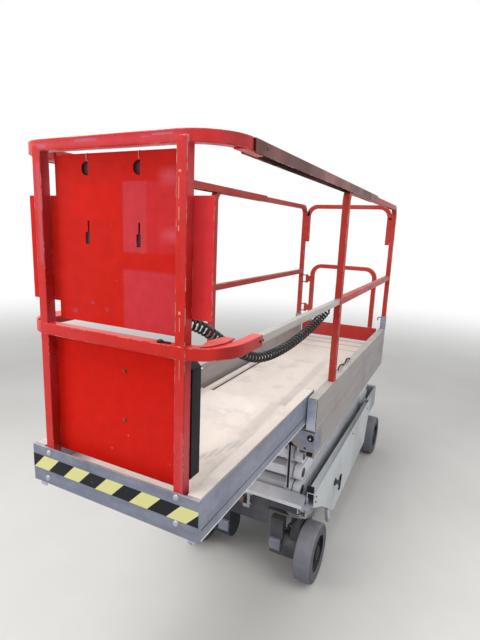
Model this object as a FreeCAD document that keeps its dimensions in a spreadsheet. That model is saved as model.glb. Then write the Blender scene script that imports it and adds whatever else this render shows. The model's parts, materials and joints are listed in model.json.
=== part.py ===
import FreeCAD, Part
import math
import os
from types import SimpleNamespace

import Sketcher

# Narrow electric scissor lift with a roll-out deck, parked: stack folded, deck rolled out.
# +X is the machine's side seen at the right of the picture, -Y the front (steered wheels,
# roll-out deck), +Z up, the ground at Z 0. Stations run rearwards from the toe plate's face.

SIZES = (
    # name, millimetres, what it is
    ("wheel_diameter", 323, "solid tyre, outside"),
    ("wheel_width", 100, "solid tyre"),
    ("overall_width", 800, "over the tyres"),
    ("rim_diameter", 200, "steel rim's recess"),
    ("rim_recess", 26, "depth of the rim's dish"),
    ("hub_diameter", 84, "hub boss"),
    ("stub_diameter", 40, "stub axle"),
    ("kingpin_diameter", 44, "kingpin"),
    ("neck_width", 52, "knuckle's upright neck across"),
    ("drive_width", 165, "drive motor across"),
    ("drive_diameter", 150, "drive motor"),
    ("knuckle_disc", 150, "steering disc"),
    ("wheel_gap", 90, "floor plate above the tyres"),
    ("steer_arm", 110, "kingpin to tie rod pin"),
    ("tie_rod_diameter", 24, "tie rod"),
    ("arm_length", 1680, "scissor arm between end pins"),
    ("arm_depth", 84, "scissor arm, upright"),
    ("arm_width", 40, "scissor arm, across"),
    ("arm_wall", 5, "scissor arm's wall"),
    ("arm_gap", 7, "inner arm to outer arm"),
    ("level_gap", 16, "between folded arms, one above the other"),
    ("front_tube", 54, "square tube on the outer arms' front pins"),
    ("rear_pivot", 2800, "station of the fixed pins"),
    ("pin_diameter", 32, "arm pins"),
    ("pin_clearance", 0.1, "pin to its bore, all round"),
    ("cross_tube", 60, "square tube between inner arms"),
    ("cross_tube_inset", 110, "cross tube from the arm's end pin"),
    ("roller_diameter", 56, "track roller"),
    ("roller_width", 26, "track roller"),
    ("track_width", 40, "track channel across"),
    ("track_wall", 8, "track channel"),
    ("roller_clearance", 1, "roller to the track, above and below"),
    ("cylinder_diameter", 90, "lift cylinder barrel"),
    ("rod_diameter", 50, "lift cylinder rod"),
    ("barrel_pin_reach", 110, "barrel pin behind the lowest front cross tube"),
    ("rod_pin_reach", 160, "rod pin ahead of the third rear cross tube"),
    ("pin_to_deck", 125, "main deck above the highest pins"),
    ("deck_thickness", 6, "deck plate"),
    ("platform_width", 790, "over the side panels"),
    ("panel_thickness", 46, "side panel"),
    ("panel_wall", 4, "side panel's wall"),
    ("panel_above_deck", 157, "side panel above the main deck"),
    ("panel_below_deck", 150, "side panel below the main deck"),
    ("joist_depth", 50, "deck joist"),
    ("joist_width", 40, "deck joist"),
    ("rail_height", 1170, "guard rail top above the main deck"),
    ("rail_tube", 33, "square rail tube"),
    ("rail_wall", 3, "rail tube's wall"),
    ("mid_rail_height", 588, "mid rail's middle above the main deck"),
    ("rail_bend", 70, "bend of the main rails, middle of the tube"),
    ("mid_tube", 34, "fixed mid rail, square"),
    ("mid_wall", 2.5, "fixed mid rail's wall"),
    ("curved_mid_tube", 36, "roll-out mid rail, square"),
    ("slide_tube", 27, "bare telescoping tube of the roll-out rail"),
    ("slide_tube_end", 1620, "station of the bare tube's rear end"),
    ("channel_width", 45, "sliding top rail, an upside-down channel"),
    ("channel_depth", 40, "sliding top rail"),
    ("channel_wall", 3, "sliding top rail"),
    ("channel_front", 160, "station of the sliding top rail's front"),
    ("channel_rear", 1970, "station of the sliding top rail's rear"),
    ("channel_clearance", 3, "sliding top rail over the main rail"),
    ("deck_out_rise", 40, "roll-out deck above the main deck"),
    ("beam_height", 138, "roll-out side beam"),
    ("beam_drop", 14, "roll-out side beam below its deck"),
    ("beam_wall", 5, "roll-out side beam"),
    ("beam_flange", 48, "roll-out side beam's top flange"),
    ("toe_plate_height", 135, "front plate with the hazard tape"),
    ("toe_plate_wall", 8, "front plate"),
    ("slide_rail_rear", 1880, "station of the deck's slide rails' rear end"),
    ("slide_rail_width", 30, "deck's slide rail"),
    ("slide_rail_height", 24, "deck's slide rail"),
    ("end_bend", 130, "end frame's bends, middle of the tube"),
    ("sheet_wall", 3, "red steel sheets"),
    ("gate_height", 662, "gate arch's top above the main deck"),
    ("toe_board_height", 152, "toe board"),
    ("tray_rise", 75, "slope of the tray's lower edge, front to rear"),
    ("tray_rail", 76, "tray's box rail, upright"),
    ("tray_depth", 112, "tray's deep part, across"),
    ("tray_wall", 4, "tray cover"),
    ("cross_width", 42, "end cross members along the machine"),
    ("tub_bottom", 135, "chassis tub above the ground"),
    ("tub_wall", 10, "chassis tub"),
    ("floor_thickness", 12, "plate over the front wheels"),
    ("floor_drop", 50, "lowest pins above that plate"),
    ("gate_gap", 32, "gate above the main deck"),
    ("hinge_pin", 16, "hinge pins of the gate and the trays"),
    ("lug_bore", 26, "tie-down lug's hole"),
    ("lug_wall", 14, "tie-down lug"),
    ("document_box_depth", 46, "black box behind the lower sheet"),
    ("arch_leg", 300, "rear arch's legs"),
    ("cord_diameter", 46, "curly cord, outside"),
)

doc = FreeCAD.newDocument("ScissorLift")
sheet = doc.addObject("Spreadsheet::Sheet", "Sizes")


class Length:
    """A length in mm that also knows the spreadsheet formula it comes from."""

    def __init__(self, value, formula):
        self.value = float(value)
        self.formula = formula

    def __add__(self, other):
        other = length(other)
        return Length(self.value + other.value, "(%s + %s)" % (self.formula, other.formula))

    def __sub__(self, other):
        other = length(other)
        return Length(self.value - other.value, "(%s - %s)" % (self.formula, other.formula))

    def __mul__(self, other):
        other = length(other)
        return Length(self.value * other.value, "%s * %s" % (self.formula, other.formula))

    def __truediv__(self, other):
        other = length(other)
        return Length(self.value / other.value, "%s / %s" % (self.formula, other.formula))

    def __neg__(self):
        return Length(-self.value, "(0 - %s)" % self.formula)

    def __radd__(self, other):
        return length(other) + self

    def __rsub__(self, other):
        return length(other) - self

    def __rmul__(self, other):
        return length(other) * self


def length(number):
    """A plain number as a Length, and a Length as it is."""
    if isinstance(number, Length):
        return number
    return Length(number, repr(float(number)))


def root_of_difference(long_side, short_side):
    """The third side of a right triangle."""
    value = math.sqrt(long_side.value ** 2 - short_side.value ** 2)
    formula = "sqrt(%s * %s - %s * %s)" % (
        long_side.formula, long_side.formula, short_side.formula, short_side.formula)
    return Length(value, formula)


def narrower(first, second):
    """The smaller of two lengths, for a piece that has to fit in both."""
    value = min(first.value, second.value)
    return Length(value, "min(%s; %s)" % (first.formula, second.formula))


def fill_sheet():
    """The driving dimensions, one row each, and the names that part.py reads them by."""
    named = {}
    for row, (name, value, meaning) in enumerate(SIZES, start=1):
        sheet.set("A%d" % row, name.replace("_", " "))
        sheet.set("B%d" % row, str(value))
        sheet.set("C%d" % row, meaning)
        sheet.setAlias("B%d" % row, name)
        named[name] = Length(value, "Sizes." + name)
    doc.recompute()
    return SimpleNamespace(**named)


size = fill_sheet()
nodes = []

# Sizes that follow from the ones in the sheet. Heights stack up from the tyres, stations hang
# on the stack's front and rear pins, and widths on the platform's width.
size.kingpin_offset = size.overall_width / 2 - size.wheel_width - 30
room_by_wheels = size.overall_width / 2 - size.wheel_width - 35
room_by_trays = size.platform_width / 2 - size.tray_depth - 18
size.tub_width = narrower(room_by_wheels, room_by_trays) * 2
size.level_pitch = size.arm_depth + size.level_gap
size.levels_base = size.wheel_diameter + size.wheel_gap + size.floor_thickness + size.floor_drop
LEVELS = 4
size.deck_height = size.levels_base + LEVELS * size.level_pitch + size.pin_to_deck
size.tie_rod_height = size.wheel_diameter / 2 + 110
size.cross_top = size.levels_base + 115
size.tray_top = size.levels_base + 182
size.tray_bottom = size.tub_bottom + 119
size.sheet_wing_low = size.mid_rail_height + 92
size.sheet_wing_high = size.rail_height - 160

arm_run = root_of_difference(size.arm_length, size.level_pitch)
front_pivot = size.rear_pivot - arm_run
size.cross_front = front_pivot - 108
size.platform_front = front_pivot - 148
size.tray_front = front_pivot - 78
size.track_front = front_pivot - 43
size.floor_front = front_pivot + 34
size.front_axle = front_pivot + 82
size.front_post = front_pivot + 153
size.tray_door_front = front_pivot + 377
size.tub_front = front_pivot + 377
size.deck_out_rear = size.platform_front + 100
size.tray_door_rear = size.rear_pivot - 465
size.tray_rear = size.rear_pivot - 305
size.tray_hinge = size.rear_pivot - 288
size.rear_post = size.rear_pivot + 66
size.platform_rear = size.rear_pivot + 85
size.rear_axle = size.rear_pivot + 123.5
size.cross_rear = size.rear_pivot + 230
size.barrel_length = size.arm_length / 2 - 80

panel_outer = size.platform_width / 2
panel_inner = panel_outer - size.panel_thickness
track_outer = panel_inner - 1
track_inner = track_outer - size.track_width
outer_outer_face = track_inner - 6
outer_inner_face = outer_outer_face - size.arm_width
inner_outer_face = outer_inner_face - size.arm_gap
size.inner_arm_face = inner_outer_face - size.arm_width
size.tray_hinge_x = panel_outer - 23
size.deck_out_width = panel_inner * 2 - 11
size.end_frame_width = size.platform_width - 225
size.sheet_top_width = size.end_frame_width - 115
size.sheet_wing_width = size.platform_width - 100
size.gate_width = size.platform_width - 250
size.gate_hinge = panel_outer - 75


def keep(shape, label):
    """Marks a finished sub-part, whose label is its name in the assembly."""
    shape.Label = label
    nodes.append(shape)
    return shape


def bind(target, name, value):
    """Ties one property to the sheet."""
    target.setExpression(name, length(value).formula)


def place(target, x, y, z):
    """Ties an object's place to the sheet."""
    bind(target, "Placement.Base.x", x)
    bind(target, "Placement.Base.y", y)
    bind(target, "Placement.Base.z", z)


def box(x_span, y_span, z_span):
    """A block between pairs of coordinates."""
    block = doc.addObject("Part::Box", "Block")
    for name, (low, high) in zip(("Length", "Width", "Height"), (x_span, y_span, z_span)):
        bind(block, name, high - low)
    place(block, x_span[0], y_span[0], z_span[0])
    return block


AXIS_TURN = {
    "x": FreeCAD.Rotation(FreeCAD.Vector(0, 1, 0), 90),
    "y": FreeCAD.Rotation(FreeCAD.Vector(1, 0, 0), -90),
    "z": FreeCAD.Rotation(),
}


def rod(axis, diameter, span, across):
    """A round bar along an axis; across gives its other two coordinates, in X, Y, Z order."""
    bar = doc.addObject("Part::Cylinder", "Bar")
    bar.Placement = FreeCAD.Placement(FreeCAD.Vector(), AXIS_TURN[axis])
    bind(bar, "Radius", diameter / 2)
    bind(bar, "Height", span[1] - span[0])
    start = {"x": (span[0], *across), "y": (across[0], span[0], across[1]), "z": (*across, span[0])}
    place(bar, *start[axis])
    return bar


def fuse(*shapes):
    """Welds shapes into one."""
    weld = doc.addObject("Part::MultiFuse", "Weld")
    weld.Shapes = list(shapes)
    weld.Refine = True
    return weld


def cut(base, *tools):
    """Takes one or more shapes out of another."""
    result = doc.addObject("Part::Cut", "Cut")
    result.Base = base
    result.Tool = tools[0] if len(tools) == 1 else fuse(*tools)
    return result


def square_tube(axis, side, wall, span, across):
    """A square tube along an axis about a middle line, open at both ends."""
    def block(width, reach):
        spans = [(middle - width / 2, middle + width / 2) for middle in across]
        spans.insert("xyz".index(axis), (span[0] - reach, span[1] + reach))
        return box(*spans)
    return cut(block(side, 0), block(side - 2 * wall, 1))


def mirrored(side, low, high):
    """A span across the machine, on the given side: 1 is +X, -1 is -X."""
    return (low, high) if side > 0 else (-high, -low)


PLANES = {
    # plane, role of the body's own origin plane
    "across": "XZ_Plane",
    "along": "YZ_Plane",
    "flat": "XY_Plane",
}


def outline_sketch(body, plane, outline, holes):
    """A closed outline with round holes, every corner tied to the sheet."""
    sketch = body.newObject("Sketcher::SketchObject", "Outline")
    support = [item for item in body.Origin.OriginFeatures if item.Role == PLANES[plane]]
    sketch.AttachmentSupport = [(support[0], "")]
    sketch.MapMode = "FlatFace"
    corners = [(length(a), length(b)) for a, b in outline]

    def pin_point(geometry, position, point):
        for kind, value in zip(("DistanceX", "DistanceY"), point):
            index = sketch.addConstraint(
                Sketcher.Constraint(kind, -1, 1, geometry, position, value.value))
            sketch.setExpression("Constraints[%d]" % index, value.formula)

    for start, end in zip(corners, corners[1:] + corners[:1]):
        sketch.addGeometry(Part.LineSegment(
            FreeCAD.Vector(start[0].value, start[1].value, 0),
            FreeCAD.Vector(end[0].value, end[1].value, 0)))
    for index in range(len(corners)):
        following = (index + 1) % len(corners)
        sketch.addConstraint(Sketcher.Constraint("Coincident", index, 2, following, 1))
        pin_point(index, 1, corners[index])
    for a, b, diameter in holes:
        centre = (length(a), length(b))
        radius = length(diameter) / 2
        circle = sketch.addGeometry(Part.Circle(
            FreeCAD.Vector(centre[0].value, centre[1].value, 0),
            FreeCAD.Vector(0, 0, 1), radius.value))
        index = sketch.addConstraint(Sketcher.Constraint("Radius", circle, radius.value))
        sketch.setExpression("Constraints[%d]" % index, radius.formula)
        pin_point(circle, 3, centre)
    return sketch


def plate(plane, outline, span, holes=()):
    """A padded outline between two coordinates along the plane's normal."""
    body = doc.addObject("PartDesign::Body", "Plate")
    sketch = outline_sketch(body, plane, outline, holes)
    pad = body.newObject("PartDesign::Pad", "Pad")
    pad.Profile = sketch
    pad.SideType = "Symmetric"
    low, high = length(span[0]), length(span[1])
    bind(pad, "Length", high - low)
    axis = {"across": "y", "along": "x", "flat": "z"}[plane]
    bind(body, "Placement.Base." + axis, (low + high) / 2)
    body.Tip = pad
    return body


def bent_tube(points, radius, side, wall):
    """A square tube along straight runs with round bends; its ends are open."""
    def vector(point):
        return FreeCAD.Vector(*[length(value).value for value in point])
    corners = [vector(point) for point in points]
    reach = length(radius).value
    edges = []
    start = corners[0]
    for before, corner, after in zip(corners, corners[1:], corners[2:]):
        inward = (before - corner).normalize()
        outward = (after - corner).normalize()
        turn = math.pi - inward.getAngle(outward)
        trim = reach * math.tan(turn / 2)
        arc_start = corner + inward * trim
        arc_end = corner + outward * trim
        bisector = (inward + outward).normalize()
        middle = corner + bisector * (reach / math.cos(turn / 2) - reach)
        edges.append(Part.LineSegment(start, arc_start).toShape())
        edges.append(Part.Arc(arc_start, middle, arc_end).toShape())
        start = arc_end
    edges.append(Part.LineSegment(start, corners[-1]).toShape())
    path = Part.Wire(edges)
    direction = (corners[1] - corners[0]).normalize()
    across = FreeCAD.Vector(0, 0, 1) if abs(direction.z) < 0.9 else FreeCAD.Vector(1, 0, 0)
    other = direction.cross(across).normalize()

    def swept(width):
        half = width / 2
        ring = [corners[0] + across * (a * half) + other * (b * half)
                for a, b in ((1, 1), (1, -1), (-1, -1), (-1, 1), (1, 1))]
        return path.makePipeShell([Part.makePolygon(ring)], True, True, 2)
    outside = length(side).value
    tube = doc.addObject("Part::Feature", "BentTube")
    tube.Shape = swept(outside).cut(swept(outside - 2 * length(wall).value))
    return tube


# Places worked out once from the sizes
front_reach = (size.rear_axle + size.wheel_diameter / 2) / 2


def station(distance):
    """Y of a distance behind the toe plate's face."""
    return distance - front_reach


wheel_radius = size.wheel_diameter / 2
tyre_outer = size.overall_width / 2
tyre_inner = tyre_outer - size.wheel_width
front_axle = station(size.front_axle)
rear_axle = station(size.rear_axle)

rear_pin = station(size.rear_pivot)
front_pin = rear_pin - arm_run
stack_middle = (rear_pin + front_pin) / 2
roller_inner = outer_outer_face + 4
roller_outer = roller_inner + size.roller_width
platform_pin_height = size.levels_base + LEVELS * size.level_pitch

deck_top = size.deck_height
deck_bottom = deck_top - size.deck_thickness
panel_top = deck_top + size.panel_above_deck
panel_bottom = deck_top - size.panel_below_deck
rail_top = deck_top + size.rail_height
rail_line = panel_outer - size.rail_tube / 2 - 2
mid_rail_line = deck_top + size.mid_rail_height
half_track = size.roller_diameter / 2 + size.roller_clearance + size.track_wall
SIDES = (("right", 1), ("left", -1))


def track(z_middle, y_span, side):
    """A channel open towards the stack, in which a roller runs."""
    half_inside = half_track - size.track_wall
    outer = box(mirrored(side, track_inner, track_outer), y_span,
                (z_middle - half_track, z_middle + half_track))
    inner = box(mirrored(side, track_inner - 1, track_outer - size.track_wall),
                (y_span[0] - 1, y_span[1] + 1),
                (z_middle - half_inside, z_middle + half_inside))
    return cut(outer, inner)


def pivot_block(z_middle, side):
    """The block in the rear of a track that holds a fixed pin."""
    half = size.roller_diameter / 2 + size.roller_clearance
    block = box(mirrored(side, track_inner, track_outer - size.track_wall),
                (rear_pin - half, rear_pin + half), (z_middle - half, z_middle + half))
    bore = rod("x", size.pin_diameter + 2 * size.pin_clearance,
               mirrored(side, track_inner - 1, track_outer - size.track_wall - 4),
               (rear_pin, z_middle))
    return cut(block, bore)


floor_top = size.levels_base - size.floor_drop
floor_bottom = floor_top - size.floor_thickness


def lug(x_span, y_span, z_span, hole_y, hole_z):
    """A tie-down plate with a hole through it across the machine."""
    hole = rod("x", size.lug_bore, (x_span[0] - 1, x_span[1] + 1), (hole_y, hole_z))
    return cut(box(x_span, y_span, z_span), hole)


def hinge_leaf(side, z_low, z_high):
    """A leaf on the frame that carries the tray's hinge pin."""
    x, y = size.tray_hinge_x, station(size.tray_hinge)
    neck = box(mirrored(side, track_outer - 1, x), (y - 10, y + 10), (z_low, z_high))
    eye = rod("z", 28, (z_low, z_high), (side * x, y))
    bore = rod("z", size.hinge_pin + 2 * size.pin_clearance, (z_low - 1, z_high + 1), (side * x, y))
    return cut(fuse(neck, eye), bore)


frame_front = station(size.cross_front)
frame_rear = station(size.cross_rear)
inner_front = frame_front + size.cross_width
inner_rear = frame_rear - size.cross_width


def make_track(name, side):
    """A lower track with its side plate, the fixed pivot and the tray's hinge leaves."""
    plate_x = mirrored(side, track_outer - size.track_wall, track_outer)
    hinge_y = station(size.tray_hinge)
    pieces = [
        track(size.levels_base, (station(size.track_front), inner_rear), side),
        box(plate_x, (station(size.floor_front), inner_rear), (floor_bottom, size.levels_base)),
        box(plate_x, (hinge_y - 40, inner_rear), (size.levels_base, size.cross_top)),
        box(plate_x, (hinge_y - 40, hinge_y + 40), (size.cross_top - 1, size.tray_top - 25)),
        pivot_block(size.levels_base, side),
    ]
    for z_low in (size.tray_top - 100, size.tray_top - 40):
        pieces.append(hinge_leaf(side, z_low, z_low + 10))
    return keep(fuse(*pieces), "track_" + name)


def make_tub():
    """The welded tub between the rear wheels, with the front lugs and the rear stub axles."""
    side_x = size.tub_width / 2
    front = station(size.tub_front)
    pieces = [box((-side_x, side_x), (front, frame_rear),
                  (size.tub_bottom, size.tub_bottom + size.tub_wall))]
    for y_low in (front, frame_rear - size.tub_wall):
        pieces.append(box((-side_x, side_x), (y_low, y_low + size.tub_wall),
                          (size.tub_bottom, floor_bottom)))
    for _, side in SIDES:
        pieces.append(box(mirrored(side, side_x - size.tub_wall, side_x),
                          (front, frame_rear), (size.tub_bottom, floor_bottom)))
        pieces.append(lug(mirrored(side, side_x, side_x + size.lug_wall),
                          (front - 45, front + 40),
                          (size.tub_bottom + 30, size.tray_bottom),
                          front - 23, size.tub_bottom + 73))
        pieces.append(rod("x", size.stub_diameter,
                          mirrored(side, side_x - 1, tyre_inner + size.wheel_width * 0.55),
                          (rear_axle, wheel_radius)))
    return keep(fuse(*pieces), "chassis_tub")


def make_floor():
    """The plate over the front wheels and the tub, bored for the kingpins."""
    half = track_outer - size.track_wall
    floor = box((-half, half), (station(size.floor_front), inner_rear),
                (floor_bottom, floor_top))
    bores = [rod("z", size.kingpin_diameter + 2 * size.pin_clearance,
                 (floor_bottom - 1, floor_top - 4), (sign * size.kingpin_offset, front_axle))
             for _, sign in SIDES]
    return keep(cut(floor, *bores), "chassis_floor")


def make_cross_members():
    """The members that close the frame's ends, the rear one with the rear lugs."""
    top, wall = size.cross_top, 8
    track_top = size.levels_base + half_track
    profile = (
        # a bent plate: lip, slope and rear flange
        (frame_front, top - 58), (frame_front, top - 38), (inner_front, top),
        (inner_front, top - 50), (inner_front - wall, top - 50), (inner_front - wall, top - 16),
        (frame_front + wall, top - 42), (frame_front + wall, top - 58),
    )
    pieces = [plate("along", profile, (-track_outer, track_outer))]
    for _, side in SIDES:
        pieces.append(box(mirrored(side, track_outer - 1, panel_outer - 20),
                          (frame_front, frame_front + 24), (top - 58, top - 38)))
        pieces.append(box(mirrored(side, track_inner, track_outer),
                          (inner_front - wall, station(size.track_front) + 40),
                          (track_top, top - 49)))
    keep(fuse(*pieces), "front_cross_member")
    wide, narrow = track_inner - 4, size.kingpin_offset - 125
    apron = (
        # a dark plate that hangs behind the lip, lower in the middle
        (-wide, top - 50), (-wide, size.levels_base - 5), (-narrow, size.levels_base - 5),
        (-narrow, floor_bottom - 58), (narrow, floor_bottom - 58), (narrow, size.levels_base - 5),
        (wide, size.levels_base - 5), (wide, top - 50),
    )
    keep(plate("across", apron, (inner_front - wall, inner_front)), "front_apron")
    pieces = [box((-track_outer, track_outer), (inner_rear, frame_rear),
                  (floor_bottom, size.cross_top))]
    for _, side in SIDES:
        pieces.append(lug(mirrored(side, 180, 180 + size.lug_wall),
                          (frame_rear - 1, frame_rear + 40),
                          (size.levels_base - 30, size.levels_base + 40),
                          frame_rear + 18, size.levels_base + 5))
    keep(fuse(*pieces), "rear_cross_member")


def make_wheel(label, side, axle):
    """A solid tyre on its rim, turned about the axle."""
    outer = mirrored(side, tyre_inner, tyre_outer)
    tyre = rod("x", size.wheel_diameter, outer, (axle, wheel_radius))
    dish = rod("x", size.rim_diameter,
               mirrored(side, tyre_outer - size.rim_recess, tyre_outer + 1), (axle, wheel_radius))
    back = rod("x", size.rim_diameter,
               mirrored(side, tyre_inner - 1, tyre_inner + 30), (axle, wheel_radius))
    hub = rod("x", size.hub_diameter,
              mirrored(side, tyre_outer - size.rim_recess - 1, tyre_outer - 6),
              (axle, wheel_radius))
    bore = rod("x", size.stub_diameter + 2 * size.pin_clearance,
               mirrored(side, tyre_inner - 1, tyre_inner + size.wheel_width * 0.55 + 1),
               (axle, wheel_radius))
    return keep(cut(fuse(cut(tyre, dish, back), hub), bore), label)


def make_knuckle(name, side):
    """The steered knuckle: disc, kingpin, drive housing and stub axle."""
    x = side * size.kingpin_offset
    disc = rod("z", size.knuckle_disc, (floor_bottom - 25, floor_bottom - 0.5), (x, front_axle))
    pin = rod("z", size.kingpin_diameter, (floor_bottom - 8, floor_top - 5), (x, front_axle))
    outside = tyre_inner - 5
    neck = box(mirrored(side, outside - size.neck_width, outside),
               (front_axle - 45, front_axle + 45), (wheel_radius, floor_bottom - 24))
    motor = rod("x", size.drive_diameter, mirrored(side, outside - size.drive_width, outside),
                (front_axle, wheel_radius))
    gearbox = box(mirrored(side, outside - size.drive_width, outside - size.drive_width + 75),
                  (front_axle - 70, front_axle - 20), (wheel_radius, wheel_radius + 178))
    stub = rod("x", size.stub_diameter,
               mirrored(side, tyre_inner - 6, tyre_inner + size.wheel_width * 0.55),
               (front_axle, wheel_radius))
    arm_y = front_axle + size.steer_arm
    arm = box((x - 16, x + 16), (front_axle + 30, arm_y + 16),
              (size.tie_rod_height + 16, size.tie_rod_height + 30))
    arm_pin = rod("z", 20, (size.tie_rod_height - 16, size.tie_rod_height + 17), (x, arm_y))
    return keep(fuse(disc, pin, neck, motor, gearbox, stub, arm, arm_pin), "knuckle_" + name)


def make_tie_rod():
    """The bar that keeps both knuckles parallel, with an eye at each end."""
    y = front_axle + size.steer_arm
    bar = rod("x", size.tie_rod_diameter, (20 - size.kingpin_offset, size.kingpin_offset - 20),
              (y, size.tie_rod_height))
    eyes = [rod("z", 44, (size.tie_rod_height - 14, size.tie_rod_height + 14),
                (sign * size.kingpin_offset, y)) for _, sign in SIDES]
    bores = [rod("z", 20 + 2 * size.pin_clearance,
                 (size.tie_rod_height - 15, size.tie_rod_height + 15),
                 (sign * size.kingpin_offset, y)) for _, sign in SIDES]
    return keep(cut(fuse(bar, *eyes), *bores), "tie_rod")


def arm(x_span, bores):
    """One flat-laid scissor arm about its middle pin: box section, round ends, bores."""
    half = size.arm_length / 2
    bar = box(x_span, (-half, half), (-size.arm_depth / 2, size.arm_depth / 2))
    ends = [rod("x", size.arm_depth, x_span, (end, length(0))) for end in (-half, half)]
    holes = [rod("x", size.pin_diameter + 2 * size.pin_clearance,
                 (x_span[0] - 1, x_span[1] + 1), (y, length(0))) for y in bores]
    solid = fuse(bar, *ends)
    return cut(solid, *holes) if holes else solid


def tilt(frame, level, rises_rearwards):
    """Leans a flat-laid arm pair to its folded slope and lifts it to its level."""
    sign = 1 if rises_rearwards else -1
    frame.Placement = FreeCAD.Placement(
        FreeCAD.Vector(), FreeCAD.Rotation(FreeCAD.Vector(sign, 0, 0), 3))
    slope = "asin(%s / %s)" % (size.level_pitch.formula, size.arm_length.formula)
    frame.setExpression("Placement.Rotation.Angle", slope)
    place(frame, length(0), stack_middle, size.levels_base + (level - 0.5) * size.level_pitch)


def front_tube(reach):
    """The square tube round a front pin, up to or past the inner arms' faces."""
    half_width = size.inner_arm_face + reach
    return square_tube("x", size.front_tube, size.arm_wall, (-half_width, half_width),
                       (-size.arm_length / 2, length(0)))


def make_inner_arms(level):
    """A pair of inner arms with cross tubes; the front end is high, the rear end low."""
    half = size.arm_length / 2
    shaft_reach = {1: (half, track_outer - size.track_wall - 6), LEVELS: (-half, roller_outer + 3)}
    bores = [length(0)]
    if level > 1:
        bores.append(half)
    if level < LEVELS:
        bores.append(-half)
    pieces = []
    for _, side in SIDES:
        pieces.append(arm(mirrored(side, size.inner_arm_face, inner_outer_face), bores))
    for y in (size.cross_tube_inset - half, half - size.cross_tube_inset):
        pieces.append(square_tube("x", size.cross_tube, size.arm_wall,
                                  (-size.inner_arm_face - 1, size.inner_arm_face + 1),
                                  (y, length(0))))
    if level in shaft_reach:
        y, reach = shaft_reach[level]
        pieces.append(rod("x", size.pin_diameter, (-reach, reach), (y, length(0))))
    if level == LEVELS:
        pieces.append(front_tube(1))
    if level == LEVELS:
        for _, side in SIDES:
            pieces.append(rod("x", size.roller_diameter, mirrored(side, roller_inner, roller_outer),
                              (-half, length(0))))
    if level == 1:
        y = size.cross_tube_inset - half
        for side in (-1, 1):
            ear_x = mirrored(side, 24, 40)
            ear = box(ear_x, (y + 20, y + size.barrel_pin_reach + 24), (length(-24), length(24)))
            pieces.append(ear)
        pieces.append(rod("x", size.pin_diameter, (-50, 50),
                          (y + size.barrel_pin_reach, length(0))))
    if level == 3:
        y = half - size.cross_tube_inset
        for side in (-1, 1):
            ear_x = mirrored(side, 36, 50)
            pieces.append(box(ear_x, (y - size.rod_pin_reach - 26, y - 20),
                              (length(-24), length(24))))
            pieces.append(rod("x", size.pin_diameter + 14, mirrored(side, 49, 58),
                              (y - size.rod_pin_reach, length(0))))
    frame = fuse(*pieces)
    tilt(frame, level, False)
    return keep(frame, "inner_arms_%d" % level)


def make_outer_arms(level):
    """A pair of outer arms with their pins; the front end is low, the rear end high."""
    half = size.arm_length / 2
    pieces = [front_tube(-3)]
    for side in (-1, 1):
        pieces.append(box(mirrored(side, size.inner_arm_face - 12, size.inner_arm_face - 4),
                          (-half - 25, 25 - half), (length(-25), length(25))))
    for _, side in SIDES:
        pieces.append(arm(mirrored(side, outer_inner_face, outer_outer_face), []))
        pieces.append(rod("x", size.pin_diameter,
                          mirrored(side, size.inner_arm_face - 4, outer_inner_face + 1),
                          (length(0), length(0))))
    for y, carries_roller, carries_pivot in ((-half, level == 1, False),
                                             (half, False, level == LEVELS)):
        reach = outer_outer_face
        if carries_roller:
            reach = roller_outer + 3
        if carries_pivot:
            reach = track_outer - size.track_wall - 6
        pieces.append(rod("x", size.pin_diameter, (-reach, reach), (y, length(0))))
    if level == 1:
        for _, side in SIDES:
            pieces.append(rod("x", size.roller_diameter, mirrored(side, roller_inner, roller_outer),
                              (-half, length(0))))
    frame = fuse(*pieces)
    tilt(frame, level, True)
    return keep(frame, "outer_arms_%d" % level)


def on_inner_arm(level, from_rear_pin):
    """Y and Z of a point on an inner arm's middle line, by its distance from the rear pin."""
    share = from_rear_pin / size.arm_length
    y = rear_pin - arm_run * share
    z = size.levels_base + (level - 1) * size.level_pitch + size.level_pitch * share
    return y, z


def make_lift_cylinder():
    """The lift cylinder between the lowest front and the third rear cross tube."""
    base_y, base_z = on_inner_arm(
        1, size.arm_length - size.cross_tube_inset - size.barrel_pin_reach)
    eye_y, eye_z = on_inner_arm(3, size.cross_tube_inset + size.rod_pin_reach)
    run = eye_y - base_y
    rise = eye_z - base_z
    reach = Length(math.hypot(run.value, rise.value),
                   "sqrt(%s * %s + %s * %s)" % (run.formula, run.formula, rise.formula,
                                                rise.formula))

    def aim(shape, label):
        shape.Placement = FreeCAD.Placement(
            FreeCAD.Vector(), FreeCAD.Rotation(FreeCAD.Vector(1, 0, 0), 3))
        shape.setExpression("Placement.Rotation.Angle",
                            "atan(%s / %s)" % (rise.formula, run.formula))
        place(shape, length(0), base_y, base_z)
        return keep(shape, label)

    zero = length(0)
    body = rod("y", size.cylinder_diameter, (length(64), size.barrel_length), (zero, zero))
    lug = box((length(-22), length(22)), (zero, length(66)), (length(-26), length(26)))
    eye = rod("x", 52, (length(-22), length(22)), (zero, zero))
    pin_hole = rod("x", size.pin_diameter + 2 * size.pin_clearance,
                   (length(-24), length(24)), (zero, zero))
    bore = rod("y", size.rod_diameter + 1, (length(80), size.barrel_length + 1), (zero, zero))
    aim(cut(fuse(body, lug, eye), pin_hole, bore), "lift_barrel")
    rod_bar = rod("y", size.rod_diameter, (length(90), reach - 20), (zero, zero))
    rod_eye = rod("x", 60, (length(-28), length(28)), (reach, zero))
    rod_hole = rod("x", size.pin_diameter, (length(-30), length(30)), (reach, zero))
    aim(cut(fuse(rod_bar, rod_eye), rod_hole), "lift_rod")


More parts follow.
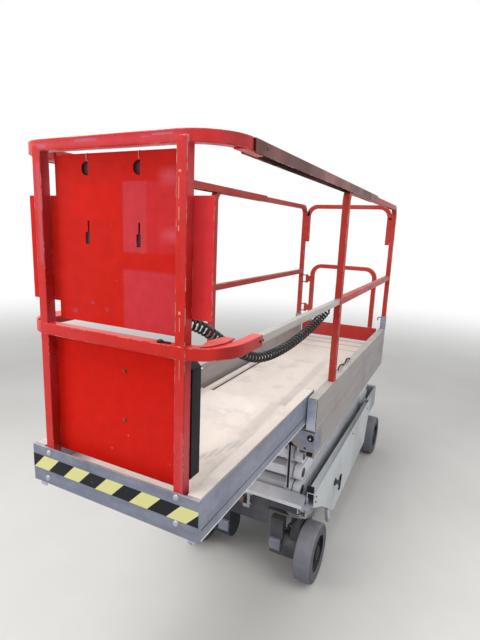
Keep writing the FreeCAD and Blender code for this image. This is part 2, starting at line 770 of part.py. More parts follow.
def tray_floor_outline(thickness, front, rear):
    """The sloped floor of a tray, or a block of that height above it, seen from the side."""
    run = size.tray_rear - 109 - size.tray_door_front
    low = size.tray_bottom + size.tray_rise * (front - station(size.tray_door_front)) / run
    high = size.tray_bottom + size.tray_rise * (rear - station(size.tray_door_front)) / run
    return (front, low), (rear, high), (rear, high + thickness), (front, low + thickness)


def make_tray(name, side):
    """A swing-out side tray: sloped cover on a box rail over the wheel, with a deep part."""
    y_front, y_rear = station(size.tray_front), station(size.tray_rear)
    door_front, door_rear = station(size.tray_door_front), station(size.tray_door_rear)
    wall = size.tray_wall
    outer = panel_outer
    inner = track_outer + 6
    rail_high = size.tray_top - 39
    rail_low = rail_high - size.tray_rail
    outline = (
        (y_front, rail_low), (y_front, rail_high), (y_rear + 41, size.tray_top),
        (y_rear - 3, size.tray_top - 83), (y_rear - 109, size.tray_bottom + size.tray_rise),
        (door_front, size.tray_bottom), (y_front + 165, size.tray_top - 203),
    )
    skin = plate("along", outline, mirrored(side, outer - wall, outer))
    rail = cut(box(mirrored(side, inner, outer), (y_front, y_rear), (rail_low, rail_high)),
               box(mirrored(side, inner + wall, outer - wall), (y_front - 1, y_rear - wall),
                   (rail_low + wall, rail_high - wall)))
    floor = plate("along", tray_floor_outline(wall, door_front, door_rear),
                  mirrored(side, outer - size.tray_depth, outer - wall))
    ends = [box(mirrored(side, outer - size.tray_depth, outer - wall), (y, y + wall),
                (z_low, floor_bottom - 8))
            for y, z_low in ((door_front, size.tray_bottom),
                             (door_rear - wall, size.tray_bottom + size.tray_rise))]
    x, y = side * size.tray_hinge_x, station(size.tray_hinge)
    strap_z = (size.tray_top - 85, size.tray_top - 45)
    strap = box((x - 8, x + 8), (y_rear - 1, y), strap_z)
    barrel = rod("z", 24, strap_z, (x, y))
    pin = rod("z", size.hinge_pin, (size.tray_top - 104, size.tray_top - 26), (x, y))
    return keep(fuse(skin, rail, floor, strap, barrel, pin, *ends), "tray_" + name)


def make_tray_load(name, side):
    """The plain block of batteries or pump in a tray."""
    outer = panel_outer - size.tray_wall - 4
    front, rear = station(size.tray_door_front) + 30, station(size.tray_door_rear) - 30
    floor = tray_floor_outline(size.tray_wall, front, rear)
    top = size.levels_base - 80
    block = plate("along", (floor[3], floor[2], (rear, top), (front, top)),
                  mirrored(side, panel_outer - size.tray_depth + 4, outer))
    return keep(block, "tray_load_" + name)


def make_platform_frame():
    """Deck plate on joists, with the upper tracks and the fixed pivot blocks."""
    front, rear = station(size.platform_front), station(size.platform_rear)
    track_top = platform_pin_height + half_track
    pieces = [box((-panel_inner, panel_inner), (front + 8, rear), (deck_bottom, deck_top))]
    for _, side in SIDES:
        pieces.append(track(platform_pin_height, (front + 40, rear - 20), side))
        pieces.append(pivot_block(platform_pin_height, side))
        pieces.append(box(mirrored(side, track_outer - size.track_wall, track_outer),
                          (front + 40, rear - 20), (track_top - 1, deck_bottom + 1)))
    count = 5
    spacing = (rear - front - 120) / (count - 1)
    for index in range(count):
        y = front + 60 + index * spacing
        pieces.append(box((-track_outer, track_outer),
                          (y - size.joist_width / 2, y + size.joist_width / 2),
                          (deck_bottom - size.joist_depth, deck_bottom + 1)))
    return keep(fuse(*pieces), "platform_deck")


def make_side_panel(name, side):
    """The extruded side panel: hollow, with a groove along its outer face at deck height."""
    inner, outer = panel_inner, panel_outer
    groove = 4
    half = size.panel_thickness
    wall = size.panel_wall

    def x(distance):
        return side * (inner + distance)
    outline = (
        (x(0), panel_bottom), (x(half), panel_bottom), (x(half), deck_top - 14),
        (x(half - groove), deck_top - 12), (x(half - groove), deck_top - 4),
        (x(half), deck_top - 2), (x(half), panel_top), (x(0), panel_top),
    )
    span = (station(size.platform_front), station(size.platform_rear))
    solid = plate("across", outline, span)
    spans = ((panel_bottom + wall, deck_top - 16), (deck_top + 2, panel_top - wall))
    hollows = [box(mirrored(side, inner + wall, outer - wall - groove),
                   (span[0] - 1, span[1] + 1), z_span) for z_span in spans]
    front = span[0]
    cap = box(mirrored(side, inner, outer), (front - 4, front), (deck_top - 10, panel_top))
    bracket = plate("across", (
        (side * (inner - 63), panel_bottom + 55), (side * (inner - 18), panel_bottom + 33),
        (side * outer, panel_bottom + 33), (side * outer, deck_top),
        (side * (inner - 63), deck_top),
    ), (front - 8, front))
    bushing = rod("y", 30, (front - 16, front - 7), (side * (inner + 21), deck_top - 57))
    return keep(fuse(cut(solid, *hollows), cap, bracket, bushing), "side_panel_" + name)


gate_hinge_heights = (deck_top + size.toe_board_height + 113, deck_top + size.gate_height - 137)


def make_guard_rail(name, side):
    """The fixed guard rail: a hoop of two posts and the top rail, with the hollow mid rail."""
    x = side * rail_line
    y_front, y_rear = station(size.front_post), station(size.rear_post)
    z_top = rail_top - size.channel_wall - size.channel_clearance - size.rail_tube / 2
    hoop = bent_tube(((x, y_front, panel_top), (x, y_front, z_top), (x, y_rear, z_top),
                      (x, y_rear, panel_top)), size.rail_bend, size.rail_tube, size.rail_wall)
    half = size.mid_tube / 2
    mid_outer = box((x - half, x + half), (y_front - size.rail_tube / 2 - 4, y_rear),
                    (mid_rail_line - half, mid_rail_line + half))
    bore_half = half - size.mid_wall
    bore = box((x - bore_half, x + bore_half), (y_front - 40, y_rear - 40),
               (mid_rail_line - bore_half, mid_rail_line + bore_half))
    pieces = [hoop, mid_outer]
    if side < 0:
        for z in gate_hinge_heights:
            for z_low in (z - 34, z + 26):
                hinge_x = -size.gate_hinge
                neck = box((-rail_line + size.rail_tube / 2 - 1, hinge_x), (y_rear - 8, y_rear + 8),
                           (z_low, z_low + 8))
                eye = rod("z", 26, (z_low, z_low + 8), (hinge_x, y_rear))
                hole = rod("z", size.hinge_pin + 2 * size.pin_clearance,
                           (z_low - 1, z_low + 9), (hinge_x, y_rear))
                pieces.append(cut(fuse(neck, eye), hole))
    return keep(cut(fuse(*pieces), bore), "guard_rail_" + name)


def make_rear_arch():
    """The upside-down U over the entry, between the rear posts."""
    x = rail_line - size.rail_tube
    y = station(size.rear_post)
    z_top = rail_top - size.rail_tube / 2
    z_low = z_top - size.arch_leg
    arch = bent_tube(((-x, y, z_low), (-x, y, z_top), (x, y, z_top), (x, y, z_low)),
                     85, size.rail_tube, size.rail_wall)
    return keep(arch, "rear_arch")


def make_gate():
    """The entry gate: a bent arch on a toe board, hinged at the left."""
    half = size.gate_width / 2
    y = station(size.rear_post)
    z_top = deck_top + size.gate_height - size.rail_tube / 2
    z_low = deck_top + size.gate_gap
    arch = bent_tube(((-half, y, z_low), (-half, y, z_top), (half, y, z_top), (half, y, z_low)),
                     80, size.rail_tube, size.rail_wall)
    board_half = panel_inner - 20
    board_y = y - size.rail_tube / 2
    board = box((-board_half, board_half), (board_y - 4, board_y),
                (z_low, deck_top + size.toe_board_height))
    pieces = [arch, board]
    hinge_x = -size.gate_hinge
    for z in gate_hinge_heights:
        pieces.append(box((hinge_x, -half), (y - 8, y + 8), (z - 25, z + 25)))
        pieces.append(rod("z", 24, (z - 25, z + 25), (hinge_x, y)))
        pieces.append(rod("z", size.hinge_pin, (z - 38, z + 38), (hinge_x, y)))
    return keep(fuse(*pieces), "gate")


def make_rollout_deck():
    """The roll-out deck plate with its ribs and slide rails."""
    z = deck_top + size.deck_out_rise
    half = size.deck_out_width / 2
    rear = station(size.deck_out_rear)
    front = station(size.toe_plate_wall)
    top = box((-half + size.beam_wall, half - size.beam_wall), (front, rear), (z, z + 5))
    pieces = [top]
    rail_outer = half - 18
    rail_low = deck_top + 0.3
    for _, side in SIDES:
        rail_x = mirrored(side, rail_outer - size.slide_rail_width, rail_outer)
        pieces.append(box(rail_x, (rear - 220, station(size.slide_rail_rear)),
                          (rail_low, rail_low + size.slide_rail_height)))
        pieces.append(box(rail_x, (rear - 220, rear), (rail_low, z + 1)))
    return keep(fuse(*pieces), "rollout_deck")


def make_side_beam(name, side):
    """The roll-out deck's side beam: a folded channel with a wide top flange and a lower lip."""
    half = size.deck_out_width / 2
    low = deck_top + size.deck_out_rise - size.beam_drop
    high = low + size.beam_height
    wall = size.beam_wall

    def x(distance):
        return side * (half - distance)
    outline = (
        (x(0), low), (x(0), high), (x(size.beam_flange), high), (x(size.beam_flange), high - wall),
        (x(wall), high - wall), (x(wall), low + wall), (x(16), low + wall), (x(16), low),
    )
    beam = plate("across", outline, (station(size.toe_plate_wall), station(size.deck_out_rear)))
    return keep(beam, "side_beam_" + name)


def make_toe_plate():
    """The front plate across the roll-out deck."""
    half = size.deck_out_width / 2
    low = deck_top + size.deck_out_rise - size.beam_drop + size.beam_height - size.toe_plate_height
    return keep(box((-half, half), (station(0), station(size.toe_plate_wall)),
                    (low, low + size.toe_plate_height)), "toe_plate")


def make_end_frame():
    """The roll-out deck's end frame: two posts, and top and mid rails that bend rearwards."""
    side_x = rail_line
    post_x = size.end_frame_width / 2 - size.rail_tube / 2
    y = station(size.toe_plate_wall + size.rail_tube / 2)
    z_top = rail_top - size.rail_tube / 2
    z_deck = deck_top + size.deck_out_rise + 5
    front_end = station(size.channel_front)
    top = bent_tube(((-side_x, front_end, z_top), (-side_x, y, z_top), (side_x, y, z_top),
                     (side_x, front_end, z_top)), size.end_bend, size.rail_tube, size.rail_wall)
    mid_end = station(size.channel_front + 120)
    mid_y = station(size.toe_plate_wall + size.rail_tube - size.curved_mid_tube / 2)
    mid = bent_tube(((-side_x, mid_end, mid_rail_line), (-side_x, mid_y, mid_rail_line),
                     (side_x, mid_y, mid_rail_line), (side_x, mid_end, mid_rail_line)),
                    size.end_bend, size.curved_mid_tube,
                    (size.curved_mid_tube - size.slide_tube) / 2)
    posts = [square_tube("z", size.rail_tube, size.rail_wall, (z_deck, z_top),
                         (sign * post_x, y)) for _, sign in SIDES]
    return keep(fuse(top, mid, *posts), "end_frame")


SHEET_OPENINGS = (
    # middle across, lower edge above the main deck, width, height, rounded on its left
    (-101, 1067, length(27), 40, True),
    (93, 1065, length(25), 40, True),
    (-96, 867, length(18), 36, False),
    (99, 867, length(16), 36, False),
    (-92, 902, length(6), 34, False),
    (101, 902, length(6), 34, False),
)


def sheet_opening(y_span, x, z, width, height, is_round):
    """What comes out of the upper sheet for one slot or one D-shaped hole."""
    right = x + width / 2
    z_low = deck_top + z
    if not is_round:
        return box((right - width, right), y_span, (z_low, z_low + height))
    disc = rod("y", length(height), y_span, (right - width + height / 2, z_low + height / 2))
    spare = box((right, right + height), (y_span[0] - 1, y_span[1] + 1), (z_low, z_low + height))
    return cut(disc, spare)


def make_upper_sheet():
    """The red sheet with side wings, slots and hook holes, behind the end frame's upper half."""
    half_top = size.sheet_top_width / 2
    half_wing = size.sheet_wing_width / 2
    z_low = mid_rail_line + 36
    z_high = rail_top - size.rail_tube - 8
    wing_low = deck_top + size.sheet_wing_low
    wing_high = deck_top + size.sheet_wing_high
    outline = (
        (-half_top, z_low), (half_top, z_low), (half_top, wing_low), (half_wing, wing_low),
        (half_wing, wing_high), (half_top, wing_high), (half_top, z_high), (-half_top, z_high),
        (-half_top, wing_high), (-half_wing, wing_high), (-half_wing, wing_low),
        (-half_top, wing_low),
    )
    y = station(size.toe_plate_wall + size.rail_tube)
    sheet = plate("across", outline, (y, y + size.sheet_wall))
    openings = [sheet_opening((y - 1, y + size.sheet_wall + 1), *row) for row in SHEET_OPENINGS]
    edge = box((-half_top, half_top - 12), (y, y + 16), (z_high - size.sheet_wall, z_high))
    return keep(fuse(cut(sheet, *openings), edge), "upper_sheet")


def make_lower_sheet():
    """The red sheet from the mid rail down to the toe plate."""
    half = size.end_frame_width / 2 - 6
    y = station(size.toe_plate_wall + size.rail_tube)
    z_low = deck_top + size.deck_out_rise - size.beam_drop + size.beam_height - 8
    return keep(box((-half, half), (y, y + size.sheet_wall), (z_low, mid_rail_line - 30)),
                "lower_sheet")


def make_document_box():
    """The black box on the back of the lower sheet."""
    y = station(size.toe_plate_wall + size.rail_tube) + size.sheet_wall
    left, right = length(-40), size.end_frame_width / 2 + 4
    low, high = deck_top + 178, mid_rail_line - 36
    outline = (
        (left, low + 8), (left + 8, low), (right - 18, low), (right, low + 18),
        (right, high - 17), (right - 18, high), (left + 8, high), (left, high - 8),
    )
    return keep(plate("across", outline, (y, y + size.document_box_depth)), "document_box")


def make_top_slide(name, side):
    """The sliding top rail: an upside-down channel that runs over the fixed rail."""
    half = size.channel_width / 2
    wall = size.channel_wall
    x_middle = side * rail_line

    outline = (
        (x_middle - half, rail_top - size.channel_depth), (x_middle - half, rail_top),
        (x_middle + half, rail_top), (x_middle + half, rail_top - size.channel_depth),
        (x_middle + half - wall, rail_top - size.channel_depth),
        (x_middle + half - wall, rail_top - wall), (x_middle - half + wall, rail_top - wall),
        (x_middle - half + wall, rail_top - size.channel_depth),
    )
    return keep(plate("across", outline, (station(size.channel_front), station(size.channel_rear))),
                "top_slide_" + name)


def make_mid_slide(name, side):
    """The bare tube that telescopes into the fixed mid rail."""
    x = side * rail_line
    return keep(square_tube("y", size.slide_tube, size.rail_wall - 0.5,
                            (station(size.channel_front + 60), station(size.slide_tube_end)),
                            (x, mid_rail_line)), "mid_slide_" + name)


def make_ladder():
    """Two step hoops between two uprights on the rear of the chassis."""
    rear = station(size.cross_rear)
    pieces = []
    for sign in (1, -1):
        pieces.append(box(mirrored(sign, 136, 150), (rear, rear + 8),
                          (size.tub_bottom + 105, size.levels_base - 5)))
    for z in (size.tub_bottom + 135, size.levels_base - 55):
        pieces.append(bent_tube(((-143, rear + 4, z), (-143, rear + 34, z), (143, rear + 34, z),
                                 (143, rear + 4, z)), 20, 20, 3))
    return keep(fuse(*pieces), "ladder")


def make_control_socket():
    """The small box on the back of the upper sheet that the curly cord plugs into."""
    y = station(size.toe_plate_wall + size.rail_tube) + size.sheet_wall
    x = rail_line - 206.5
    return keep(box((x - 40, x + 40), (y, y + 60), (mid_rail_line + 37, mid_rail_line + 111)),
                "control_socket")


CORD_POINTS = (
    # inwards from the rail's middle, station, above the main deck
    (40.5, 1285, 556),
    (63.5, 1120, 490),
    (100.5, 860, 425),
    (136.5, 600, 415),
    (164.5, 400, 510),
    (188.5, 250, 610),
    (206.5, 160, 640),
    (206.5, 104, 640),
)


def make_curly_cord():
    """The curly cord's envelope: one tube of its outer diameter on straight runs and arcs."""
    points = [FreeCAD.Vector((rail_line - inwards).value, station(along).value,
                             (deck_top + above).value)
              for inwards, along, above in CORD_POINTS]
    edges = []
    start = points[0]
    for before, corner, after in zip(points, points[1:], points[2:]):
        inward, outward = before - corner, after - corner
        trim = 0.45 * min(inward.Length, outward.Length)
        turn = math.pi - inward.getAngle(outward)
        radius = trim / math.tan(turn / 2)
        bisector = (inward.normalize() + outward.normalize()).normalize()
        middle = corner + bisector * (radius / math.cos(turn / 2) - radius)
        arc_start, arc_end = corner + inward * trim, corner + outward * trim
        edges.append(Part.LineSegment(start, arc_start).toShape())
        edges.append(Part.Arc(arc_start, middle, arc_end).toShape())
        start = arc_end
    edges.append(Part.LineSegment(start, points[-1]).toShape())
    path = Part.Wire(edges)
    circle = Part.Circle(points[0], points[1] - points[0], size.cord_diameter.value / 2)
    tube = doc.addObject("Part::Feature", "Cord")
    tube.Shape = path.makePipeShell([Part.Wire([circle.toShape()])], True, True)
    return keep(tube, "curly_cord")


make_tub()
make_floor()
make_cross_members()
for end, axle in (("front", front_axle), ("rear", rear_axle)):
    for name, side in SIDES:
        make_wheel("wheel_%s_%s" % (end, name), side, axle)
for name, side in SIDES:
    make_track(name, side)
    make_knuckle(name, side)
    make_tray(name, side)
    make_tray_load(name, side)
    make_side_panel(name, side)
    make_guard_rail(name, side)
    make_side_beam(name, side)
    make_top_slide(name, side)
    make_mid_slide(name, side)
make_tie_rod()
for level in range(1, LEVELS + 1):
    make_inner_arms(level)
    make_outer_arms(level)
make_lift_cylinder()
make_platform_frame()
make_rear_arch()
make_gate()
make_rollout_deck()
make_toe_plate()
make_end_frame()
make_upper_sheet()
make_lower_sheet()
make_document_box()
make_ladder()
make_control_socket()
make_curly_cord()

doc.recompute()
faults = [item.Name for item in doc.Objects
          if "Invalid" in item.State or "Error" in item.State]
for node in nodes:
    if node.Shape.isNull() or not node.Shape.isValid():
        faults.append(node.Label)
if faults:
    raise RuntimeError("failed: " + ", ".join(faults))

os.makedirs("parts", exist_ok=True)
for node in nodes:
    node.Shape.exportStep("parts/%s.step" % node.Label)
    bounds = node.Shape.BoundBox
    print("%-22s %d solids %10.0f mm3  x %.1f %.1f  y %.1f %.1f  z %.1f %.1f" % (
        node.Label, len(node.Shape.Solids), node.Shape.Volume, bounds.XMin, bounds.XMax,
        bounds.YMin, bounds.YMax, bounds.ZMin, bounds.ZMax))
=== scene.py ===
import json
import math

import bmesh
import bpy
from bpy.props import FloatProperty, FloatVectorProperty, IntProperty, PointerProperty
from mathutils import Matrix, Vector


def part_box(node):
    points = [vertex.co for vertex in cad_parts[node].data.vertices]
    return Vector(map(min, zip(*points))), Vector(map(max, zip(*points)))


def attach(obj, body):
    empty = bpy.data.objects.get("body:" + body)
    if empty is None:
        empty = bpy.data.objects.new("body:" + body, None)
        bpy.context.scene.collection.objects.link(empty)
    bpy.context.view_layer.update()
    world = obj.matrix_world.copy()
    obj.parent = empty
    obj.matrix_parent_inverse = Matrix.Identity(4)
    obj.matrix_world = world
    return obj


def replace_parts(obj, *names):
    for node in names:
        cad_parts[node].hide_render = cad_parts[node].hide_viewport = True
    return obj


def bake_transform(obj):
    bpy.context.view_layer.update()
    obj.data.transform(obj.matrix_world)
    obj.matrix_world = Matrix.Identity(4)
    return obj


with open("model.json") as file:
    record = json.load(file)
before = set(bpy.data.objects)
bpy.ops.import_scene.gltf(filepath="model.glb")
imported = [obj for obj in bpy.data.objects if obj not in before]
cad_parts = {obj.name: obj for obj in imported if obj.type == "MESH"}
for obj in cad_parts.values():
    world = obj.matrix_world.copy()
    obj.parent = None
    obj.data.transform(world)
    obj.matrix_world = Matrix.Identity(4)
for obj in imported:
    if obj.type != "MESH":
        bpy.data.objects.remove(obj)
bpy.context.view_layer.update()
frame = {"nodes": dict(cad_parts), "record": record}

bl_info = {
    "name": "Narrow scissor lift",
    "version": (1, 0, 0),
    "blender": (4, 5, 0),
    "location": "View3D > Sidebar > Lift",
    "description": "Finishes, cord, tape, tyres and fittings of a narrow electric scissor lift",
    "category": "Object",
}

# The machine's frame, in metres: +X the side with the control cord, -Y the front, +Z up.
DECK = 1.0
RAIL_X = 0.3765
SIDES = (("right", 1), ("left", -1))
FRONT, REAR, UP, DOWN = (0, -1, 0), (0, 1, 0), (0, 0, 1), (0, 0, -1)
SHARP = math.radians(35)


def along(station_mm):
    """Y of a distance in millimetres behind the toe plate's face."""
    return (station_mm - 1542.5) / 1000


def stations(*pairs):
    """An outline seen from the side, from pairs of station and height."""
    return [(along(station), height) for station, height in pairs]


def mirrored(side, outline):
    """An outline seen from the front or from above, on one side of the machine."""
    return [(side * across, other) for across, other in outline][::side]


def turns(count, start=0.0):
    """Cosine and sine at even steps round a circle."""
    angles = [math.tau * step / count + start for step in range(count)]
    return [(math.cos(turn), math.sin(turn)) for turn in angles]


# Sizes and colours that a user would change


def colour(name, description, default):
    return FloatVectorProperty(name=name, description=description, default=default,
                               subtype="COLOR", size=3, min=0.0, max=1.0)


def length(name, description, default, low, high):
    return FloatProperty(name=name, description=description, default=default, min=low, max=high,
                         subtype="DISTANCE", unit="LENGTH")


def angle(name, description, default):
    return FloatProperty(name=name, description=description, default=default, subtype="ANGLE")


class PaintColours(bpy.types.PropertyGroup):
    """Colours of the machine's finishes."""

    rail_red: colour("Rail red", "End frame and sheets", (0.640, 0.016, 0.008))
    # darker and browner than the rail red: partly the rails' own older paint, partly painted shade
    # where less light falls on them
    old_and_shaded_red: colour("Old and shaded red", "Guard rails, arch and gate", (0.345, 0.026, 0.018))
    sun_faded: colour("Sun-faded red", "Where the red has bleached", (0.700, 0.050, 0.070))
    primer: colour("Bare edge", "What shows where paint has chipped", (0.560, 0.500, 0.440))
    channel_red: colour("Sliding rail red", "Sliding top rail", (0.080, 0.024, 0.020))
    arm_grey: colour("Arm grey", "Scissor arms", (0.640, 0.640, 0.680))
    frame_grey: colour("Frame grey", "Chassis", (0.330, 0.345, 0.370))
    cover_grey: colour("Cover grey", "Swing-out trays", (0.500, 0.530, 0.550))
    panel: colour("Side panel", "Extruded side panels", (0.330, 0.300, 0.295))
    zinc: colour("Zinc", "Toe plate and side beams", (0.225, 0.245, 0.320))
    deck: colour("Deck", "Deck plates under their dust", (0.660, 0.585, 0.525))
    tyre: colour("Tyre", "Non-marking rubber", (0.155, 0.158, 0.190))
    dust: colour("Dust", "Dust that settles on upward faces", (0.560, 0.510, 0.440))


class CordSizes(bpy.types.PropertyGroup):
    """Sizes of the curly control cord."""

    wire: length("Wire", "Diameter of the cord itself", 0.009, 0.004, 0.015)
    coil: length("Coil", "Outside diameter of the coils", 0.045, 0.03, 0.05)
    pitch: length("Pitch", "From one coil to the next", 0.0235, 0.012, 0.05)
    lead: length("Lead", "Length over which a coil opens into a straight end", 0.07, 0.02, 0.2)


class TapeSizes(bpy.types.PropertyGroup):
    """Sizes of the hazard tape on the toe plate."""

    low: length("Lower edge", "Above the ground", 1.079, 1.03, 1.12)
    width: length("Width", "Height of the tape", 0.051, 0.02, 0.1)
    period: length("Stripe period", "From one yellow stripe to the next", 0.1425, 0.05, 0.3)


class WheelSizes(bpy.types.PropertyGroup):
    """Sizes of the tyres and rims."""

    shoulder: length("Shoulder", "Rounding of the tyre's edge", 0.012, 0.004, 0.03)
    rim: length("Rim", "Diameter of the rim's recess", 0.200, 0.1, 0.3)
    segments: IntProperty(name="Segments", description="Faces round a tyre", default=72,
                          min=24, max=160)


class StageSettings(bpy.types.PropertyGroup):
    """Camera and floor."""

    camera: FloatVectorProperty(name="Camera", description="Where the photograph was taken from",
                                default=(0.9334, -2.510, 1.925), subtype="TRANSLATION", size=3)
    yaw: angle("Yaw", "Turn to the left of +Y", 0.462477)
    pitch: angle("Pitch", "Tilt below the horizon", 0.199413)
    roll: angle("Roll", "Camera's lean", 0.039009)
    lens: FloatProperty(name="Lens", description="Focal length on a 36 mm long side",
                        default=24.884, min=10, max=100, unit="CAMERA")
    floor: colour("Floor", "Plain pale floor", (0.640, 0.620, 0.590))


# Shaders


def scaled(tone, factor, offset=0.0):
    """A colour made darker or lighter."""
    return tuple(factor * part + offset for part in tone)


class Nodes:
    """Builds one shader tree; a value is a number, a colour or a socket."""

    def __init__(self, tree):
        self.tree = tree

    def set(self, socket, value):
        """Joins a socket to another one, or gives it a value."""
        if isinstance(value, bpy.types.NodeSocket):
            self.tree.links.new(value, socket)
        elif socket.type == "RGBA":
            socket.default_value = (*value[:3], 1.0)
        else:
            socket.default_value = value

    def add(self, kind, inputs=None, **settings):
        """One node with its settings and inputs."""
        node = self.tree.nodes.new(kind)
        for key, value in settings.items():
            setattr(node, key, value)
        for key, value in (inputs or {}).items():
            self.set(node.inputs[key], value)
        return node

    def math(self, operation, *values, clamp=False):
        return self.add("ShaderNodeMath", dict(enumerate(values)), operation=operation,
                        use_clamp=clamp).outputs[0]

    def chain(self, operation, values, clamp):
        """One operation on the first two values, then on the result and the next value."""
        result, *others = values
        for number, other in enumerate(others, 1):
            result = self.math(operation, result, other, clamp=clamp and number == len(others))
        return result

    def times(self, *values, clamp=False):
        return self.chain("MULTIPLY", values, clamp)

    def plus(self, *values, clamp=False):
        return self.chain("ADD", values, clamp)

    def distance(self, first, second):
        return self.math("ABSOLUTE", self.math("SUBTRACT", first, second))

    def mix(self, factor, first, second, mode="MIX"):
        """Two colours mixed."""
        return self.add("ShaderNodeMix", {0: factor, 6: first, 7: second}, data_type="RGBA",
                        blend_type=mode).outputs[2]

    def tint(self, tone, grey):
        """A colour multiplied by a value."""
        greys = self.add("ShaderNodeCombineColor", {0: grey, 1: grey, 2: grey}).outputs[0]
        return self.mix(1.0, tone, greys, "MULTIPLY")

    def grade(self, value, low, high, out_low=0.0, out_high=1.0, kind="SMOOTHSTEP"):
        """A value stretched from one range to another."""
        return self.add("ShaderNodeMapRange", {
            "Value": value, "From Min": low, "From Max": high, "To Min": out_low,
            "To Max": out_high}, interpolation_type=kind).outputs["Result"]

    def linear(self, value, low, high, out_low, out_high):
        return self.grade(value, low, high, out_low, out_high, "LINEAR")

    def noise(self, scale, detail=2.0, roughness=0.5, squeeze=None):
        """Noise over the machine; squeeze draws it out into streaks."""
        place = self.place
        if squeeze:
            place = self.add("ShaderNodeMapping", {"Vector": place, "Scale": squeeze}).outputs[0]
        return self.add("ShaderNodeTexNoise", {"Vector": place, "Scale": scale, "Detail": detail,
                                               "Roughness": roughness}).outputs["Fac"]

    def cells(self, scale):
        return self.add("ShaderNodeTexVoronoi", {"Vector": self.place, "Scale": scale}).outputs

    def axes(self, vector=None):
        return self.add("ShaderNodeSeparateXYZ", {"Vector": vector or self.place}).outputs

    def use(self, name, inputs):
        """The outputs of a finished group at this tree's position."""
        node = self.add("ShaderNodeGroup", node_tree=bpy.data.node_groups[name])
        for key, value in {"Position": self.place, **inputs}.items():
            self.set(node.inputs[key], value)
        return node.outputs


class Group(Nodes):
    """A new node group; it is given a position and the named colours and values."""

    def __init__(self, name, values, colours=(), results=("Mask",)):
        super().__init__(bpy.data.node_groups.new(name, "ShaderNodeTree"))
        sockets = [("Position", "INPUT", "Vector")]
        sockets += [(label, "INPUT", "Color") for label in colours]
        sockets += [(label, "INPUT", "Float") for label in values]
        sockets += [(label, "OUTPUT", "Color" if label == "Colour" else "Float")
                    for label in results]
        for label, way, kind in sockets:
            self.tree.interface.new_socket(label, in_out=way, socket_type="NodeSocket" + kind)
        self.given = self.tree.nodes.new("NodeGroupInput").outputs
        self.result = self.tree.nodes.new("NodeGroupOutput").inputs
        self.place = self.given["Position"]

    def give(self, label, value):
        self.set(self.result[label], value)


def make_edge_wear():
    """A mask that is 1 on outer edges, broken up by noise."""
    group = Group("Edge wear", ("Radius", "Amount"))
    bevel = group.add("ShaderNodeBevel", {"Radius": group.given["Radius"]}, samples=6)
    face = group.add("ShaderNodeNewGeometry")
    closeness = group.add("ShaderNodeVectorMath", {
        0: bevel.outputs["Normal"], 1: face.outputs["Normal"]},
        operation="DOT_PRODUCT").outputs["Value"]
    edge = group.grade(closeness, 0.995, 0.86)
    broken = group.grade(group.noise(38.0, 4.0, 0.65), 0.46, 0.56)
    runs = group.grade(group.noise(6.0), 0.40, 0.54)
    group.give("Mask", group.times(edge, broken, runs, group.given["Amount"], clamp=True))


def make_dust_film():
    """Dust on faces that look upward, thicker in drifts."""
    group = Group("Dust film", ("Amount",))
    face = group.add("ShaderNodeNewGeometry")
    flat = group.grade(group.axes(face.outputs["Normal"])["Z"], 0.15, 0.85)
    drift = group.grade(group.noise(6.0, 5.0, 0.6), 0.35, 0.70, 0.35, 1.0)
    haze = group.grade(group.noise(3.0, 4.0, 0.6), 0.45, 0.75, 0.0, 0.25)
    group.give("Mask", group.times(group.plus(group.times(flat, drift), haze),
                                   group.given["Amount"], clamp=True))


def make_chip_spots():
    """Small chips and specks away from the edges."""
    group = Group("Chip spots", ("Amount",))
    spot = group.grade(group.cells(17.0)["Distance"], 0.075, 0.03)
    chosen = group.grade(group.noise(2.7, 3.0), 0.50, 0.62)
    ragged = group.grade(group.noise(90.0), 0.40, 0.55)
    speck = group.grade(group.cells(60.0)["Distance"], 0.10, 0.05, 0.0, 0.7)
    sparse = group.grade(group.noise(9.0), 0.58, 0.66)
    both = group.math("MAXIMUM", group.times(spot, chosen, ragged), group.times(speck, sparse))
    group.give("Mask", group.times(both, group.given["Amount"], clamp=True))


def make_worn_paint():
    """Brushed or sprayed paint with fading, chips, scuffs and dust."""
    group = Group("Worn paint", ("Fade", "Chips", "Dustiness", "Gloss"),
                  ("Paint", "Faded", "Bare", "Dust"), ("Colour", "Roughness", "Height"))
    given = group.given
    faded = group.times(group.grade(group.noise(2.4, 4.0, 0.55), 0.42, 0.68), given["Fade"])
    tone = group.mix(faded, given["Paint"], given["Faded"])
    tone = group.tint(tone, group.linear(group.noise(24.0, 5.0, 0.6), 0.25, 0.75, 0.90, 1.08))
    edge = group.use("Edge wear", {"Radius": 0.0045, "Amount": given["Chips"]})["Mask"]
    spots = group.use("Chip spots", {"Amount": given["Chips"]})["Mask"]
    chipped = group.math("MAXIMUM", edge, spots)
    tone = group.mix(chipped, tone, given["Bare"])
    dusty = group.use("Dust film", {"Amount": given["Dustiness"]})["Mask"]
    group.give("Colour", group.mix(dusty, tone, given["Dust"]))
    sheen = group.linear(group.noise(7.0, 4.0), 0.3, 0.7, -0.06, 0.10)
    group.give("Roughness", group.plus(given["Gloss"], sheen, group.times(chipped, 0.25),
                                       group.times(dusty, 0.35), clamp=True))
    peel = group.times(group.noise(140.0), 0.10)
    group.give("Height", group.math("SUBTRACT", peel, chipped))


def make_rectangle():
    """A soft-edged rectangle on the machine's front, by its middle and half sizes."""
    group = Group("Front rectangle", ("X", "Z", "Half width", "Half height", "Softness"))
    axes, given = group.axes(), group.given
    sides = []
    for axis, half in (("X", "Half width"), ("Z", "Half height")):
        inside = group.math("SUBTRACT", given[half], group.distance(axes[axis], given[axis]))
        sides.append(group.math("DIVIDE", inside, given["Softness"], clamp=True))
    group.give("Mask", group.times(*sides))


FINISH = {}


